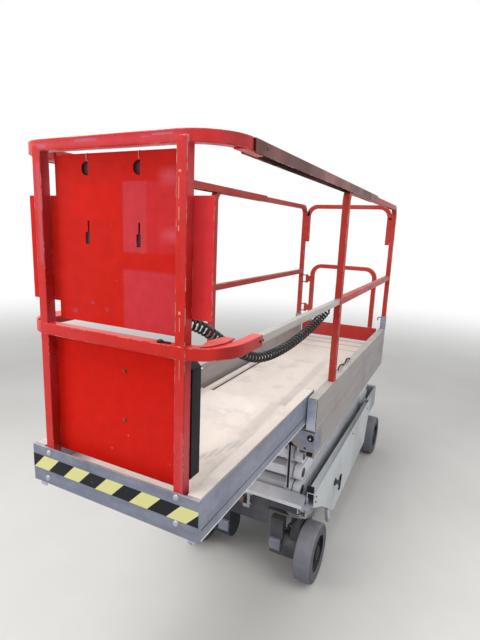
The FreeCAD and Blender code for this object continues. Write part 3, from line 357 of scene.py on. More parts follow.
class Finish(Nodes):
    """A new material with its shader; it is kept under its slot, or its name without one."""

    def __init__(self, name, slot=None):
        self.material = bpy.data.materials.new(name)
        self.material.use_nodes = True
        super().__init__(self.material.node_tree)
        self.tree.nodes.clear()
        self.shader = self.tree.nodes.new("ShaderNodeBsdfPrincipled")
        self.output = self.tree.nodes.new("ShaderNodeOutputMaterial")
        self.set(self.output.inputs["Surface"], self.shader.outputs["BSDF"])
        self.coordinates = self.tree.nodes.new("ShaderNodeTexCoord").outputs
        self.place = self.coordinates["Object"]
        self.colours = bpy.context.scene.lift_paint
        FINISH[slot or name] = self.material

    def shaded_sides(self):
        """A mask for the faces that look across the machine, which get painted shade."""
        facing = self.axes(self.coordinates["Normal"])["X"]
        return self.grade(self.math("ABSOLUTE", facing), 0.6, 0.9)

    def dusted(self, tone, amount):
        """A colour under dust, and the mask of that dust."""
        dusty = self.use("Dust film", {"Amount": amount})["Mask"]
        return self.mix(dusty, tone, self.colours.dust), dusty

    def surface(self, tone, rough, height, distance=0.0006, strength=0.5, rounding=0.0,
                **fixed):
        """Joins colour, roughness and relief to the shader; rounding softens a tube's edges."""
        relief = {"Height": height, "Distance": distance, "Strength": strength}
        if rounding:
            edge = self.add("ShaderNodeBevel", {"Radius": rounding}, samples=8)
            relief["Normal"] = edge.outputs["Normal"]
        normal = self.add("ShaderNodeBump", relief).outputs["Normal"]
        for label, value in {"Base Color": tone, "Roughness": rough, "Normal": normal,
                             **{key.replace("_", " "): part
                                for key, part in fixed.items()}}.items():
            self.set(self.shader.inputs[label], value)


def painted(name, paint, faded, bare, fade, chips, dustiness, gloss, coat=0.0, patches=(),
            shine=0.3, rounding=0.0, side_shade=0.0):
    """A painted-metal finish; patches are rectangles of another colour on the front.

    The side shade darkens the faces that look across the machine: painted shade where less light
    falls on them.
    """
    finish = Finish(name)
    body = paint
    for x, z, half_width, half_height, softness, amount, other in patches:
        mask = finish.use("Front rectangle", {
            "X": x, "Z": z, "Half width": half_width, "Half height": half_height,
            "Softness": softness})["Mask"]
        body = finish.mix(finish.times(mask, amount), body, other)
    if side_shade:
        # painted shade: faces that look across the machine are mixed towards a darker copy of the
        # paint
        body = finish.mix(finish.times(finish.shaded_sides(), side_shade), body, scaled(paint, 0.3))
    worn = finish.use("Worn paint", {
        "Paint": body, "Faded": faded, "Bare": bare, "Dust": finish.colours.dust,
        "Fade": fade, "Chips": chips, "Dustiness": dustiness, "Gloss": gloss})
    finish.surface(worn["Colour"], worn["Roughness"], worn["Height"], rounding=rounding,
                   Coat_Weight=coat, Specular_IOR_Level=shine)


def metal(name, base, metallic, rough, squeeze, spangle=0.0, dustiness=0.25, stain=0.3):
    """A bare or zinc-coated metal with rolled streaks, spangle, stains and dust."""
    finish = Finish(name)
    streak = finish.noise(1.0, 4.0, 0.6, squeeze)
    grey = finish.linear(streak, 0.3, 0.7, 0.82, 1.14)
    if spangle:
        flake = finish.add("ShaderNodeSeparateColor", {0: finish.cells(55.0)["Color"]}).outputs[0]
        grey = finish.times(grey, finish.linear(flake, 0.0, 1.0, 1.0 - spangle, 1.0 + spangle))
    tone = finish.tint(base, grey)
    stained = finish.times(finish.grade(finish.noise(4.5, 6.0, 0.65), 0.48, 0.72), stain)
    tone = finish.mix(stained, tone, scaled(base, 0.45))
    edge = finish.use("Edge wear", {"Radius": 0.003, "Amount": 0.7})["Mask"]
    tone = finish.mix(edge, tone, tuple(min(1.0, part) for part in scaled(base, 1.9)))
    tone, dusty = finish.dusted(tone, dustiness)
    roughness = finish.plus(finish.linear(streak, 0.3, 0.7, rough - 0.06, rough + 0.08),
                            finish.times(dusty, 0.3), clamp=True)
    finish.surface(tone, roughness, streak, 0.0003, 0.35, Metallic=metallic)


def moulded(name, base, rough, grain=160.0, dustiness=0.2, scuff=0.3, bump=0.0003, side_shade=0.0,
            shine=0.3):
    """Rubber or plastic with a fine grain, scuffs and dust; the side shade darkens faces across X
    as painted shade.
    """
    finish = Finish(name)
    fine = finish.noise(grain, 3.0, 0.6)
    scuffed = finish.times(finish.grade(finish.noise(9.0, 6.0, 0.7), 0.50, 0.75), scuff)
    tone = finish.mix(scuffed, base, scaled(base, 0.55, 0.20))
    if side_shade:
        # painted shade on the faces across X, such as the tyres' sides
        tone = finish.mix(finish.times(finish.shaded_sides(), side_shade), tone, scaled(base, 0.25))
    tone, dusty = finish.dusted(tone, dustiness)
    roughness = finish.plus(finish.linear(fine, 0.3, 0.7, rough - 0.05, rough + 0.08),
                            finish.times(dusty, 0.25), clamp=True)
    finish.surface(tone, roughness, fine, bump, 0.6, Specular_IOR_Level=shine)


def deck_plate():
    """The deck's worn, sandy top with stains and tyre prints; its underside is grey."""
    finish = Finish("deck_plate", "deck_steel")
    axes = finish.axes()
    lengthwise = finish.noise(1.0, 6.0, 0.62, (7.0, 1.1, 7.0))
    blotch = finish.noise(3.2, 7.0, 0.68)
    grit = finish.noise(120.0, 3.0, 0.7)
    patchy = finish.noise(2.1, 6.0, 0.7)
    tone = finish.mix(finish.grade(lengthwise, 0.40, 0.66), finish.colours.deck,
                      (0.700, 0.620, 0.545))
    for source, low, high, amount, other in (
            # stains, places worn pale, grit
            (blotch, 0.50, 0.66, 0.50, (0.440, 0.400, 0.385)),
            (patchy, 0.52, 0.60, 0.40, (0.760, 0.700, 0.660)),
            (grit, 0.52, 0.70, 0.20, (0.300, 0.280, 0.270))):
        mask = finish.times(finish.grade(source, low, high), amount)
        tone = finish.mix(mask, tone, other)
    # dark bands across the deck's rear: station of the middle, half width
    for station, half in ((2555, 0.010), (2725, 0.014), (2855, 0.010)):
        offset = finish.distance(axes["Y"], along(station))
        band = finish.grade(offset, half, half * 0.6)
        tone = finish.mix(finish.times(band, 0.6), tone, (0.200, 0.190, 0.190))
    # one tyre's print that turns from slanting across the roll-out deck to lengthwise:
    # X and station of its start, station of its end, lean, half width, strength, pattern
    lugs = finish.grade(finish.add("ShaderNodeTexWave", {
        "Vector": finish.place, "Scale": 14.0, "Distortion": 1.5}).outputs["Fac"],
        0.35, 0.65, 0.3, 1.0)
    for x, start, end, lean, half, amount, pattern in (
            (0.020, 190, 760, 0.390, 0.030, 0.45, lugs),
            (0.160, 640, 2300, -0.040, 0.040, 0.30, 1.0)):
        behind = finish.math("SUBTRACT", axes["Y"], along(start))
        offset = finish.distance(axes["X"], finish.plus(finish.times(behind, lean), x))
        pressed = finish.times(finish.grade(offset, half, half * 0.4), pattern)
        run = (end - start) / 1000
        ends = finish.times(finish.grade(behind, 0.0, 0.15), finish.grade(behind, run, run - 0.3))
        tone = finish.mix(finish.times(pressed, ends, amount), tone, (0.300, 0.270, 0.290))
    below = finish.linear(axes["Z"], DECK - 0.001, DECK - 0.003, 0.0, 1.0)
    tone = finish.mix(below, tone, finish.colours.frame_grey)
    finish.surface(tone, finish.linear(blotch, 0.3, 0.7, 0.62, 0.85), grit, 0.0005)


def hazard_tape():
    """Yellow and black slanted stripes, rubbed in places and chipped."""
    tape = bpy.context.scene.lift_tape
    finish = Finish("hazard_tape")
    axes = finish.axes()
    slant = finish.math("SUBTRACT", axes["X"], finish.math("SUBTRACT", axes["Z"], tape.low))
    stripes = finish.math("DIVIDE", finish.plus(slant, 0.340), tape.period)
    phase = finish.math("FRACT", finish.plus(stripes, 8.0))
    yellow = finish.math("LESS_THAN", phase, 0.495)
    tone = finish.mix(yellow, (0.010, 0.010, 0.016), (0.780, 0.745, 0.320))
    rubbed = finish.grade(finish.noise(26.0, 6.0, 0.7), 0.60, 0.76, 0.0, 0.30)
    tone = finish.mix(rubbed, tone, (0.260, 0.260, 0.250))
    spots = finish.use("Chip spots", {"Amount": 0.5})["Mask"]
    tone = finish.mix(spots, tone, finish.colours.zinc)
    rough = finish.linear(finish.noise(12.0, 4.0), 0.3, 0.7, 0.38, 0.60)
    finish.surface(tone, rough, rubbed, 0.0002, 0.3, Specular_IOR_Level=0.2)


# Rectangles on the front: X and Z of the middle, half width, half height, softness,
# strength, colour
CREAM, VIOLET = (0.720, 0.480, 0.270), (0.420, 0.200, 0.300)
FRAME_PATCHES = (
    (0.2600, 2.068, 0.0055, 0.004, 0.002, 0.85, CREAM),
    (0.2575, 2.027, 0.0022, 0.028, 0.002, 0.80, CREAM),
    (0.2585, 1.962, 0.0022, 0.018, 0.002, 0.80, CREAM),
    (0.2580, 1.925, 0.0025, 0.008, 0.002, 0.80, CREAM),
    (0.2635, 1.700, 0.0040, 0.005, 0.002, 0.85, CREAM),
    (0.2640, 1.668, 0.0020, 0.020, 0.002, 0.70, CREAM),
    (0.2650, 1.540, 0.0020, 0.030, 0.002, 0.50, CREAM),
    (0.0000, 2.152, 0.2700, 0.014, 0.012, 0.45, (0.600, 0.080, 0.120)),
    (0.2050, 2.160, 0.0350, 0.004, 0.003, 0.80, VIOLET),
    (0.1500, 2.156, 0.0150, 0.003, 0.003, 0.70, VIOLET),
    (-0.060, 2.158, 0.0450, 0.006, 0.006, 0.60, VIOLET),
    (-0.240, 2.150, 0.0200, 0.008, 0.005, 0.50, VIOLET),
    (-0.260, 1.950, 0.0140, 0.160, 0.012, 0.30, VIOLET),
    (0.2800, 1.250, 0.0120, 0.110, 0.010, 0.35, VIOLET),
)
SHEET_PATCHES_AND_HIGHLIGHTS = (
    (0.150, 1.950, 0.112, 0.102, 0.010, 0.35, (0.620, 0.050, 0.075)),
    (0.085, 1.950, 0.045, 0.102, 0.006, 0.35, (0.640, 0.080, 0.100)),
    (0.150, 1.700, 0.113, 0.105, 0.010, 0.55, (0.650, 0.060, 0.085)),
    (-0.070, 1.995, 0.095, 0.050, 0.006, 0.80, (0.700, 0.014, 0.006)),
    (-0.157, 1.655, 0.012, 0.009, 0.007, 0.55, (0.210, 0.110, 0.220)),
    (-0.084, 1.688, 0.010, 0.007, 0.006, 0.50, (0.230, 0.120, 0.220)),
    (-0.025, 1.672, 0.009, 0.009, 0.006, 0.40, (0.240, 0.120, 0.200)),
    # painted highlights: two soft pink glows where the sheet's gloss reflection falls
    (0.230, 2.060, 0.070, 0.030, 0.040, 0.60, (0.760, 0.180, 0.240)),
    (0.215, 1.905, 0.050, 0.030, 0.045, 0.55, (0.760, 0.200, 0.250)),
    # painted light: the wing at the sheet's right edge is lightened against the shade it lies in
    (0.310, 1.830, 0.060, 0.260, 0.010, 0.85, (0.800, 0.042, 0.048)),
)


def build_finishes():
    """Makes the shared groups, then every finish."""
    for make in (make_edge_wear, make_dust_film, make_chip_spots, make_worn_paint, make_rectangle):
        make()
    c = bpy.context.scene.lift_paint
    # name, paint, faded, bare, fade, chips, dustiness, gloss
    # the end frame's red gets painted shade on its faces across the machine
    painted("red_paint", c.rail_red, c.sun_faded, c.primer, 0.40, 0.80, 0.06, 0.30,
            patches=FRAME_PATCHES, rounding=0.006, side_shade=0.75)
    # guard rails, arch and gate: a browner red, darkened as well as painted shade
    painted("old_and_shaded_red", c.old_and_shaded_red, (0.400, 0.060, 0.055), c.primer, 0.45, 0.9, 0.10, 0.42,
            shine=0.18, rounding=0.006)
    painted("shaded_red", (0.150, 0.035, 0.045), (0.190, 0.100, 0.130), c.primer,
            0.9, 0.6, 0.3, 0.6)
    painted("red_sheet", c.rail_red, c.sun_faded, c.primer, 0.10, 0.40, 0.04, 0.42,
            patches=SHEET_PATCHES_AND_HIGHLIGHTS, shine=0.10)
    painted("lower_red", (0.700, 0.012, 0.005), c.sun_faded, c.primer, 0.05, 0.40, 0.02, 0.50,
            shine=0.06)
    painted("faded_red", c.channel_red, (0.250, 0.085, 0.078), (0.560, 0.540, 0.530),
            0.8, 1.0, 0.10, 0.42, shine=0.2)
    painted("arm_paint", c.arm_grey, (0.520, 0.520, 0.540), (0.160, 0.140, 0.120),
            0.6, 0.55, 0.10, 0.50)
    painted("chassis_paint", c.frame_grey, (0.240, 0.245, 0.260), (0.480, 0.470, 0.450),
            0.8, 0.7, 0.40, 0.55)
    painted("cover_paint", c.cover_grey, (0.340, 0.340, 0.330), (0.200, 0.190, 0.180),
            0.65, 0.8, 0.25, 0.42, 0.1)
    painted("dark_steel", (0.030, 0.034, 0.050), (0.070, 0.072, 0.085), (0.180, 0.160, 0.150),
            0.6, 0.5, 0.35, 0.45)
    painted("worn_frame", (0.300, 0.310, 0.360), (0.520, 0.520, 0.570), (0.700, 0.700, 0.740),
            0.9, 1.0, 0.20, 0.50)
    painted("rusty_steel", (0.130, 0.070, 0.045), (0.250, 0.150, 0.110), (0.060, 0.040, 0.035),
            0.9, 0.6, 0.20, 0.70)
    # name, colour, metallic, roughness, streaks, spangle, dustiness, stain
    metal("panel_aluminium", c.panel, 0.25, 0.55, (60.0, 1.5, 60.0), 0.0, 0.50, 0.35)
    metal("galvanised", c.zinc, 0.35, 0.48, (5.0, 3.0, 40.0), 0.08, 0.60, 0.45)
    metal("bare_steel", (0.430, 0.410, 0.385), 0.55, 0.38, (70.0, 2.0, 70.0))
    metal("rod_chrome", (0.620, 0.630, 0.650), 1.0, 0.16, (90.0, 3.0, 90.0), 0.0, 0.10, 0.1)
    metal("bright_zinc", (0.440, 0.480, 0.580), 0.5, 0.30, (20.0, 20.0, 20.0), 0.0, 0.05, 0.1)
    # name, colour, roughness, grain, dustiness, scuffs, relief
    # the tyres' sides are darkened as painted shade
    moulded("tyre_rubber", c.tyre, 0.78, 90.0, 0.22, 0.30, 0.0008, side_shade=0.6)
    moulded("black_plastic", (0.008, 0.009, 0.014), 0.45, 300.0, 0.08, 0.04, shine=0.12)
    moulded("cord_rubber", (0.014, 0.014, 0.017), 0.38, 220.0, 0.10, 0.12)
    deck_plate()
    hazard_tape()


# Mesh building

# Nodes whose finish is not their slot's own
OWN_FINISH = {
    "upper_sheet": "red_sheet", "lower_sheet": "lower_red", "guard_rail_left": "old_and_shaded_red",
    "guard_rail_right": "old_and_shaded_red", "rear_arch": "old_and_shaded_red", "gate": "old_and_shaded_red",
    "top_slide_left": "old_and_shaded_red", "front_cross_member": "worn_frame",
}
# Rounding of the CAD pieces' edges: in general, and for thin sheets and round tubes
ROUNDING = 0.0022
OWN_ROUNDING = {
    **dict.fromkeys(("upper_sheet", "lower_sheet", "toe_plate", "chassis_floor"), 0.0012),
    **dict.fromkeys(("end_frame", "rear_arch", "gate"), 0.0045),
}


def soften_edges(piece, width):
    """Rounds the sharp edges of a piece and keeps its flats flat."""
    piece.data.polygons.foreach_set("use_smooth", [True] * len(piece.data.polygons))
    weld = piece.modifiers.new("Weld", "WELD")
    weld.merge_threshold = 0.00005
    bevel = piece.modifiers.new("Bevel", "BEVEL")
    bevel.width = width
    bevel.segments = 2
    bevel.limit_method = "ANGLE"
    bevel.angle_limit = SHARP
    bevel.harden_normals = True
    bevel.miter_outer = "MITER_ARC"
    normals = piece.modifiers.new("Normals", "WEIGHTED_NORMAL")
    normals.keep_sharp = True


class Shape:
    """Collects parts of one piece in a single mesh, in metres in the machine's frame."""

    def __init__(self):
        self.mesh = bmesh.new()

    def block(self, corner, opposite):
        """A box between two opposite corners."""
        size = [abs(second - first) for first, second in zip(corner, opposite)]
        middle = (Vector(opposite) + Vector(corner)) / 2
        bmesh.ops.create_cube(self.mesh, size=1.0, matrix=Matrix.Translation(middle)
                              @ Matrix.Diagonal((*size, 1.0)))

    def join(self, rows):
        """Faces between closed rows of as many corners each."""
        for lower, upper in zip(rows, rows[1:]):
            for here in range(-1, len(lower) - 1):
                self.mesh.faces.new((lower[here], lower[here + 1], upper[here + 1], upper[here]))

    def prism(self, outline, axis, low, high):
        """An outline pushed along an axis; the outline is in the other two, in X, Y, Z order."""
        index = "XYZ".index(axis)
        rows = [[self.mesh.verts.new((*corner[:index], level, *corner[index:]))
                 for corner in outline] for level in (low, high)]
        self.join(rows)
        for row in rows:
            self.mesh.faces.new(row)

    def lathe(self, origin, axis, profile, segments):
        """A profile of (radius, distance along the axis) turned about the axis."""
        turn = Vector(axis).to_track_quat("Z", "Y").to_matrix().to_4x4()
        matrix = Matrix.Translation(origin) @ turn
        rings = []
        for radius, distance in profile:
            around = turns(segments) if radius else [(0, 0)]
            rings.append([self.mesh.verts.new(matrix @ Vector((
                radius * cosine, radius * sine, distance))) for cosine, sine in around])
        for lower, upper in zip(rings, rings[1:]):
            for here in range(segments):
                after = (here + 1) % segments
                corners = [lower[here % len(lower)], lower[after % len(lower)],
                           upper[after % len(upper)], upper[here % len(upper)]]
                unique = list(dict.fromkeys(corners))
                if len(unique) > 2:
                    self.mesh.faces.new(unique)

    def disc(self, origin, axis, *profile, segments=28):
        """A turned part that is closed at both ends."""
        self.lathe(origin, axis, ((0, profile[0][1]), *profile, (0, profile[-1][1])), segments)

    def tube(self, points, radius, sides=10):
        """A round tube along points, capped."""
        points = [Vector(point) for point in points]
        normal = (points[1] - points[0]).orthogonal().normalized()
        rings = []
        for index, point in enumerate(points):
            before = points[max(index - 1, 0)]
            after = points[min(index + 1, len(points) - 1)]
            heading = (after - before).normalized()
            normal = (normal - heading * normal.dot(heading)).normalized()
            side = heading.cross(normal)
            rings.append([self.mesh.verts.new(point + radius * (normal * cosine + side * sine))
                          for cosine, sine in turns(sides)])
        self.join(rings)
        for ring in (rings[0], rings[-1]):
            self.mesh.faces.new(ring)

    def rim(self, outer, inner, level, rise):
        """A raised ring on a face across X: two outlines of as many corners each."""
        rows = [[self.mesh.verts.new((x, *corner)) for corner in ring]
                for ring, x in ((outer, level), (outer, level + rise), (inner, level + rise),
                                (inner, level - rise / 4))]
        self.join(rows + rows[:1])

    def bolt(self, origin, axis, across, height):
        """A hexagon head with a washer under it."""
        self.lathe(origin, axis, ((0, 0), (across * 0.72, 0), (across * 0.72, height * 0.25),
                                  (across * 0.5, height * 0.25)), 20)
        self.lathe(origin, axis, ((across * 0.5, height * 0.2), (across * 0.5, height * 0.85),
                                  (across * 0.40, height), (0, height)), 6)

    def dome(self, origin, axis, radius, height):
        """A round rivet or button head."""
        bend = [math.pi / 2 * step / 5 for step in range(5)]
        profile = [(radius * math.cos(turn), height * math.sin(turn)) for turn in bend]
        self.lathe(origin, axis, (*profile, (0, height)), 20)

    def piece(self, name, finish, body, bevel=0.0, smooth=True):
        """The mesh as a finished object that rides on a body."""
        bmesh.ops.remove_doubles(self.mesh, verts=self.mesh.verts, dist=1e-6)
        bmesh.ops.recalc_face_normals(self.mesh, faces=self.mesh.faces)
        data = bpy.data.meshes.new(name)
        self.mesh.to_mesh(data)
        self.mesh.free()
        thing = bpy.data.objects.new(name, data)
        bpy.context.scene.collection.objects.link(thing)
        data.materials.append(FINISH[finish])
        if bevel:
            soften_edges(thing, bevel)
        elif smooth:
            data.polygons.foreach_set("use_smooth", [True] * len(data.polygons))
            data.set_sharp_from_angle(angle=SHARP)
        if body:
            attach(thing, body)
        return thing


# Operators, one for each group of pieces


class LIFT_OT_finishes(bpy.types.Operator):
    """Makes every finish and gives the CAD pieces theirs, with rounded edges"""

    bl_idname = "lift.finishes"
    bl_label = "Finishes"

    def execute(self, context):
        build_finishes()
        slot_of = {entry["node"]: entry["material_slot"] for entry in frame["record"]["subparts"]}
        for name, node in frame["nodes"].items():
            node.data.materials.clear()
            node.data.materials.append(FINISH[OWN_FINISH.get(name, slot_of[name])])
            soften_edges(node, OWN_ROUNDING.get(name, ROUNDING))
        return {"FINISHED"}


# The cord's route as the CAD solid has it, in millimetres: inwards from the rail's middle,
# station, above the main deck
ROUTE = (
    (40.5, 1285, 556), (63.5, 1120, 490), (100.5, 860, 425), (136.5, 600, 415),
    (164.5, 400, 510), (188.5, 250, 610), (206.5, 160, 640), (206.5, 104, 640),
)


def route_point(inwards, station, above):
    return Vector((RAIL_X - inwards / 1000, along(station), DECK + above / 1000))


class LIFT_OT_cord(bpy.types.Operator):
    """Winds the curly control cord along its route"""

    bl_idname = "lift.cord"
    bl_label = "Curly cord"

    def execute(self, context):
        sizes = context.scene.lift_cord
        route = bpy.data.curves.new("cord_route", "CURVE")
        route.dimensions = "3D"
        spline = route.splines.new("NURBS")
        spline.points.add(len(ROUTE) - 1)
        for point, place in zip(spline.points, reversed(ROUTE)):
            point.co = (*route_point(*place), 1.0)
        spline.order_u = 3
        spline.use_endpoint_u = True
        spline.resolution_u = 64
        holder = bpy.data.objects.new("cord_route", route)
        context.scene.collection.objects.link(holder)
        line = bpy.data.meshes.new_from_object(holder)
        points = [vertex.co.copy() for vertex in line.vertices]
        bpy.data.objects.remove(holder)
        path = self.wind(points, sizes)
        shape = Shape()
        shape.tube(path, sizes.wire / 2, 8)
        cord = shape.piece("curly_cord_coils", "cord_rubber", None)
        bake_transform(cord)
        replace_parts(cord, "curly_cord")
        return {"FINISHED"}

    def wind(self, points, sizes):
        """Points of the helix about the route, opening into straight leads at both ends."""
        distances = [0.0]
        for before, after in zip(points, points[1:]):
            distances.append(distances[-1] + (after - before).length)
        total = distances[-1]
        coil_radius = (sizes.coil - sizes.wire) / 2
        steps_per_coil = 18
        steps = int(total / sizes.pitch * steps_per_coil)
        path = []
        heading = (points[1] - points[0]).normalized()
        normal = heading.orthogonal().normalized()
        index = 0
        for step in range(steps + 1):
            here = total * step / steps
            while index < len(points) - 2 and distances[index + 1] < here:
                index += 1
            share = (here - distances[index]) / (distances[index + 1] - distances[index])
            centre = points[index].lerp(points[index + 1], share)
            before = points[max(index - 1, 0)]
            after = points[min(index + 2, len(points) - 1)]
            heading = (after - before).normalized()
            normal = (normal - heading * normal.dot(heading)).normalized()
            side = heading.cross(normal)
            ease = min(1.0, min(here, total - here) / sizes.lead)
            swing = coil_radius * ease * ease * (3 - 2 * ease)
            turn = math.tau * here / sizes.pitch
            path.append(centre + swing * (normal * math.cos(turn) + side * math.sin(turn)))
        return path


class LIFT_OT_cord_ends(bpy.types.Operator):
    """Adds the plug at the cord's front end and the clamp at its rear end"""

    bl_idname = "lift.cord_ends"
    bl_label = "Cord ends"

    def execute(self, context):
        low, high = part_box("control_socket")
        face, (x, _, z) = high.y, route_point(*ROUTE[-1])
        plug = Shape()
        plug.disc((x, face - 0.0005, z), REAR, (0.019, 0), (0.019, 0.007), (0.016, 0.009),
                  (0.016, 0.022), (0.010, 0.028), (0.0065, 0.040))
        for cosine, sine in turns(10):
            rib_x, rib_z = x + 0.0155 * cosine, z + 0.0155 * sine
            plug.block((rib_x - 0.0015, face + 0.009, rib_z - 0.0015),
                       (rib_x + 0.0015, face + 0.020, rib_z + 0.0015))
        plug.piece("cord_plug", "black_plastic", "extension")
        lid = Shape()
        lid.block((low.x + 0.004, face - 0.0002, low.z + 0.004),
                  (high.x - 0.004, face + 0.002, high.z - 0.004))
        for screw_x in (low.x + 0.010, high.x - 0.010):
            for screw_z in (low.z + 0.010, high.z - 0.010):
                lid.dome((screw_x, face + 0.002, screw_z), REAR, 0.003, 0.0018)
        lid.piece("socket_lid", "black_plastic", "extension", 0.0008)
        clamp = Shape()
        place = route_point(*ROUTE[0])
        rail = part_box("guard_rail_right")[0].x
        clamp.tube((place + Vector((0, -0.006, -0.004)), place + Vector((0, 0.010, 0.006))),
                   0.0095, 16)
        clamp.block((place.x, place.y - 0.002, place.z - 0.002),
                    (rail + 0.002, place.y + 0.014, place.z + 0.018))
        clamp.bolt((place.x + 0.010, place.y + 0.006, place.z + 0.018), UP, 0.010, 0.006)
        clamp.piece("cord_clamp", "dark_steel", "platform")
        return {"FINISHED"}


class LIFT_OT_tape(bpy.types.Operator):
    """Sticks the hazard tape on the toe plate"""

    bl_idname = "lift.tape"
    bl_label = "Hazard tape"

    def execute(self, context):
        sizes = context.scene.lift_tape
        low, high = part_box("toe_plate")
        strip = Shape()
        strip.block((low.x + 0.001, low.y - 0.0005, sizes.low),
                    (high.x - 0.001, low.y + 0.0002, sizes.low + sizes.width))
        strip.piece("hazard_tape", "hazard_tape", "extension", smooth=False)
        return {"FINISHED"}


class LIFT_OT_wheels(bpy.types.Operator):
    """Turns the tyres, rims and hubs"""

    bl_idname = "lift.wheels"
    bl_label = "Wheels"

    def execute(self, context):
        sizes = context.scene.lift_wheel
        for end in ("front", "rear"):
            for name, outward in reversed(SIDES):
                node, body = f"wheel_{end}_{name}", f"wheel_{end[0]}{name[0]}"
                low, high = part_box(node)
                middle = (low + high) / 2
                origin = Vector((low.x if outward > 0 else high.x, middle.y, middle.z))
                axis = (outward, 0, 0)
                width, rim = high.x - low.x, sizes.rim / 2
                tyre = Shape()
                tyre.lathe(origin, axis, self.tread((high.z - low.z) / 2, width, rim,
                                                    sizes.shoulder), sizes.segments)
                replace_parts(tyre.piece(node + "_tyre", "tyre_rubber", body), node)
                disc = Shape()
                dish = width - 0.026
                disc.lathe(origin, axis, (
                    (rim + 0.001, width - 0.003), (rim - 0.004, width - 0.003),
                    (rim - 0.006, dish + 0.008), (rim - 0.020, dish), (0.056, dish),
                    (0.044, dish + 0.004), (0.042, width - 0.008), (0.036, width - 0.005),
                    (0, width - 0.005)), 48)
                disc.lathe(origin, axis, ((rim + 0.001, 0.004), (rim - 0.004, 0.004),
                                          (rim - 0.006, 0.030), (0.022, 0.030)), 48)
                for cosine, sine in turns(5, 0.3):
                    place = Vector((outward * dish, 0.068 * cosine, 0.068 * sine))
                    disc.bolt(origin + place, axis, 0.017, 0.011)
                disc.piece(node + "_rim", "black_plastic", body)
        return {"FINISHED"}

    def tread(self, radius, width, rim, shoulder):
        """Profile of the tyre from its inner rim edge to its outer one."""
        bend = [math.pi / 2 * step / 4 for step in range(5)]
        middle = radius - shoulder
        near = [(middle + shoulder * math.sin(turn), shoulder - shoulder * math.cos(turn))
                for turn in bend]
        far = [(across, width - distance) for across, distance in reversed(near)]
        return [(rim, 0.016), (rim + 0.004, 0.003), (rim + 0.010, 0), (radius - 0.022, 0),
                *near, *far, (radius - 0.022, width), (rim + 0.014, width),
                (rim + 0.010, width - 0.0015), (rim + 0.004, width - 0.0015),
                (rim, width - 0.016)]


class LIFT_OT_fasteners(bpy.types.Operator):
    """Adds the bolts and rivets"""

    bl_idname = "lift.fasteners"
    bl_label = "Fasteners"

    def execute(self, context):
        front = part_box("toe_plate")[0].y
        heads = Shape()
        for x, z in ((-0.265, 1.148), (0.264, 1.152), (0.265, 1.067), (-0.275, 1.050)):
            heads.dome((x, front + 0.0005, z), FRONT, 0.0105, 0.0065)
        heads.piece("toe_plate_rivets", "bright_zinc", "extension")
        sheet_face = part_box("lower_sheet")[0].y
        bolts = Shape()
        for x, z in ((0.043, 1.488), (0.040, 1.328)):
            bolts.bolt((x, sheet_face, z), FRONT, 0.009, 0.005)
        bolts.piece("lower_sheet_bolts", "rusty_steel", "extension")
        return {"FINISHED"}


class LIFT_OT_hooks(bpy.types.Operator):
    """Adds the pressed hooks behind the upper sheet's holes, in a dark shaded red that paints the
    shade inside the holes, and the wires over its edge
    """

    bl_idname = "lift.hooks"
    bl_label = "Hooks"

    def execute(self, context):
        low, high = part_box("lower_sheet")
        front, back = low.y, high.y
        wall = 0.002
        # painted shade: the cups close the holes from behind in dark red and stand in for the
        # shade inside them
        cups = Shape()
        for x_low, x_high, z_low, z_high, depth in (
                (-0.122, -0.082, 2.060, 2.114, 0.007), (0.073, 0.112, 2.058, 2.112, 0.007),
                (-0.110, -0.082, 1.861, 1.942, 0.004), (0.086, 0.113, 1.861, 1.942, 0.004)):
            end = back + depth
            cups.block((x_low, end, z_low), (x_high, end + wall, z_high))
            for x in (x_low, x_high - wall):
                cups.block((x, back, z_low), (x + wall, end + wall / 2, z_high))
            for z in (z_low, z_high - wall):
                cups.block((x_low, back, z), (x_high, end + wall / 2, z + wall))
        cups.piece("hook_shade_cups", "shaded_red", "extension")
        wires = Shape()
        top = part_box("upper_sheet")[1].z
        for x, bottom in ((-0.091, 2.104), (0.103, 2.103)):
            wires.tube(((x + 0.001, front + 0.006, bottom), (x, front - 0.0012, bottom + 0.006),
                        (x - 0.001, front - 0.0014, top - 0.002),
                        (x - 0.001, front + 0.002, top + 0.0012),
                        (x - 0.002, front + 0.012, top + 0.001)), 0.0011, 6)
        wires.piece("sheet_wires", "bare_steel", "extension")
        return {"FINISHED"}


class LIFT_OT_stack(bpy.types.Operator):
    """Adds the rods and pin caps at the front of the scissor stack"""

    bl_idname = "lift.stack"
    bl_label = "Stack fittings"

    def execute(self, context):
        y, top = along(1062), 0.862
        wires = Shape()
        for x, low, radius in ((0.233, 0.575, 0.002), (0.249, 0.575, 0.002),
                               (0.286, 0.765, 0.003)):
            wires.tube(((x, y, low), (x, y, (low + top) / 2), (x, y, top)), radius)
        wires.piece("hanging_wires", "bright_zinc", "platform")
        hanger = Shape()
        hanger.tube([(0.241, y + 0.002, z) for z in (0.600, 0.730, top)], 0.0055, 12)
        hanger.block((0.228, y - 0.004, 0.846), (0.298, y + 0.010, 0.860))
        hanger.piece("hanging_rod", "black_plastic", "platform")
        for level in range(1, 5):
            low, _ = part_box(f"outer_arms_{level}")
            caps = Shape()
            for side in (-1, 1):
                caps.disc((side * 0.3015, low.y + 0.042, low.z + 0.042), (side, 0, 0),
                          (0.026, 0), (0.026, 0.003), (0.018, 0.0035), (0.018, 0.0045))
            caps.piece(f"pin_caps_{level}", "dark_steel", f"outer_{level}")
        return {"FINISHED"}


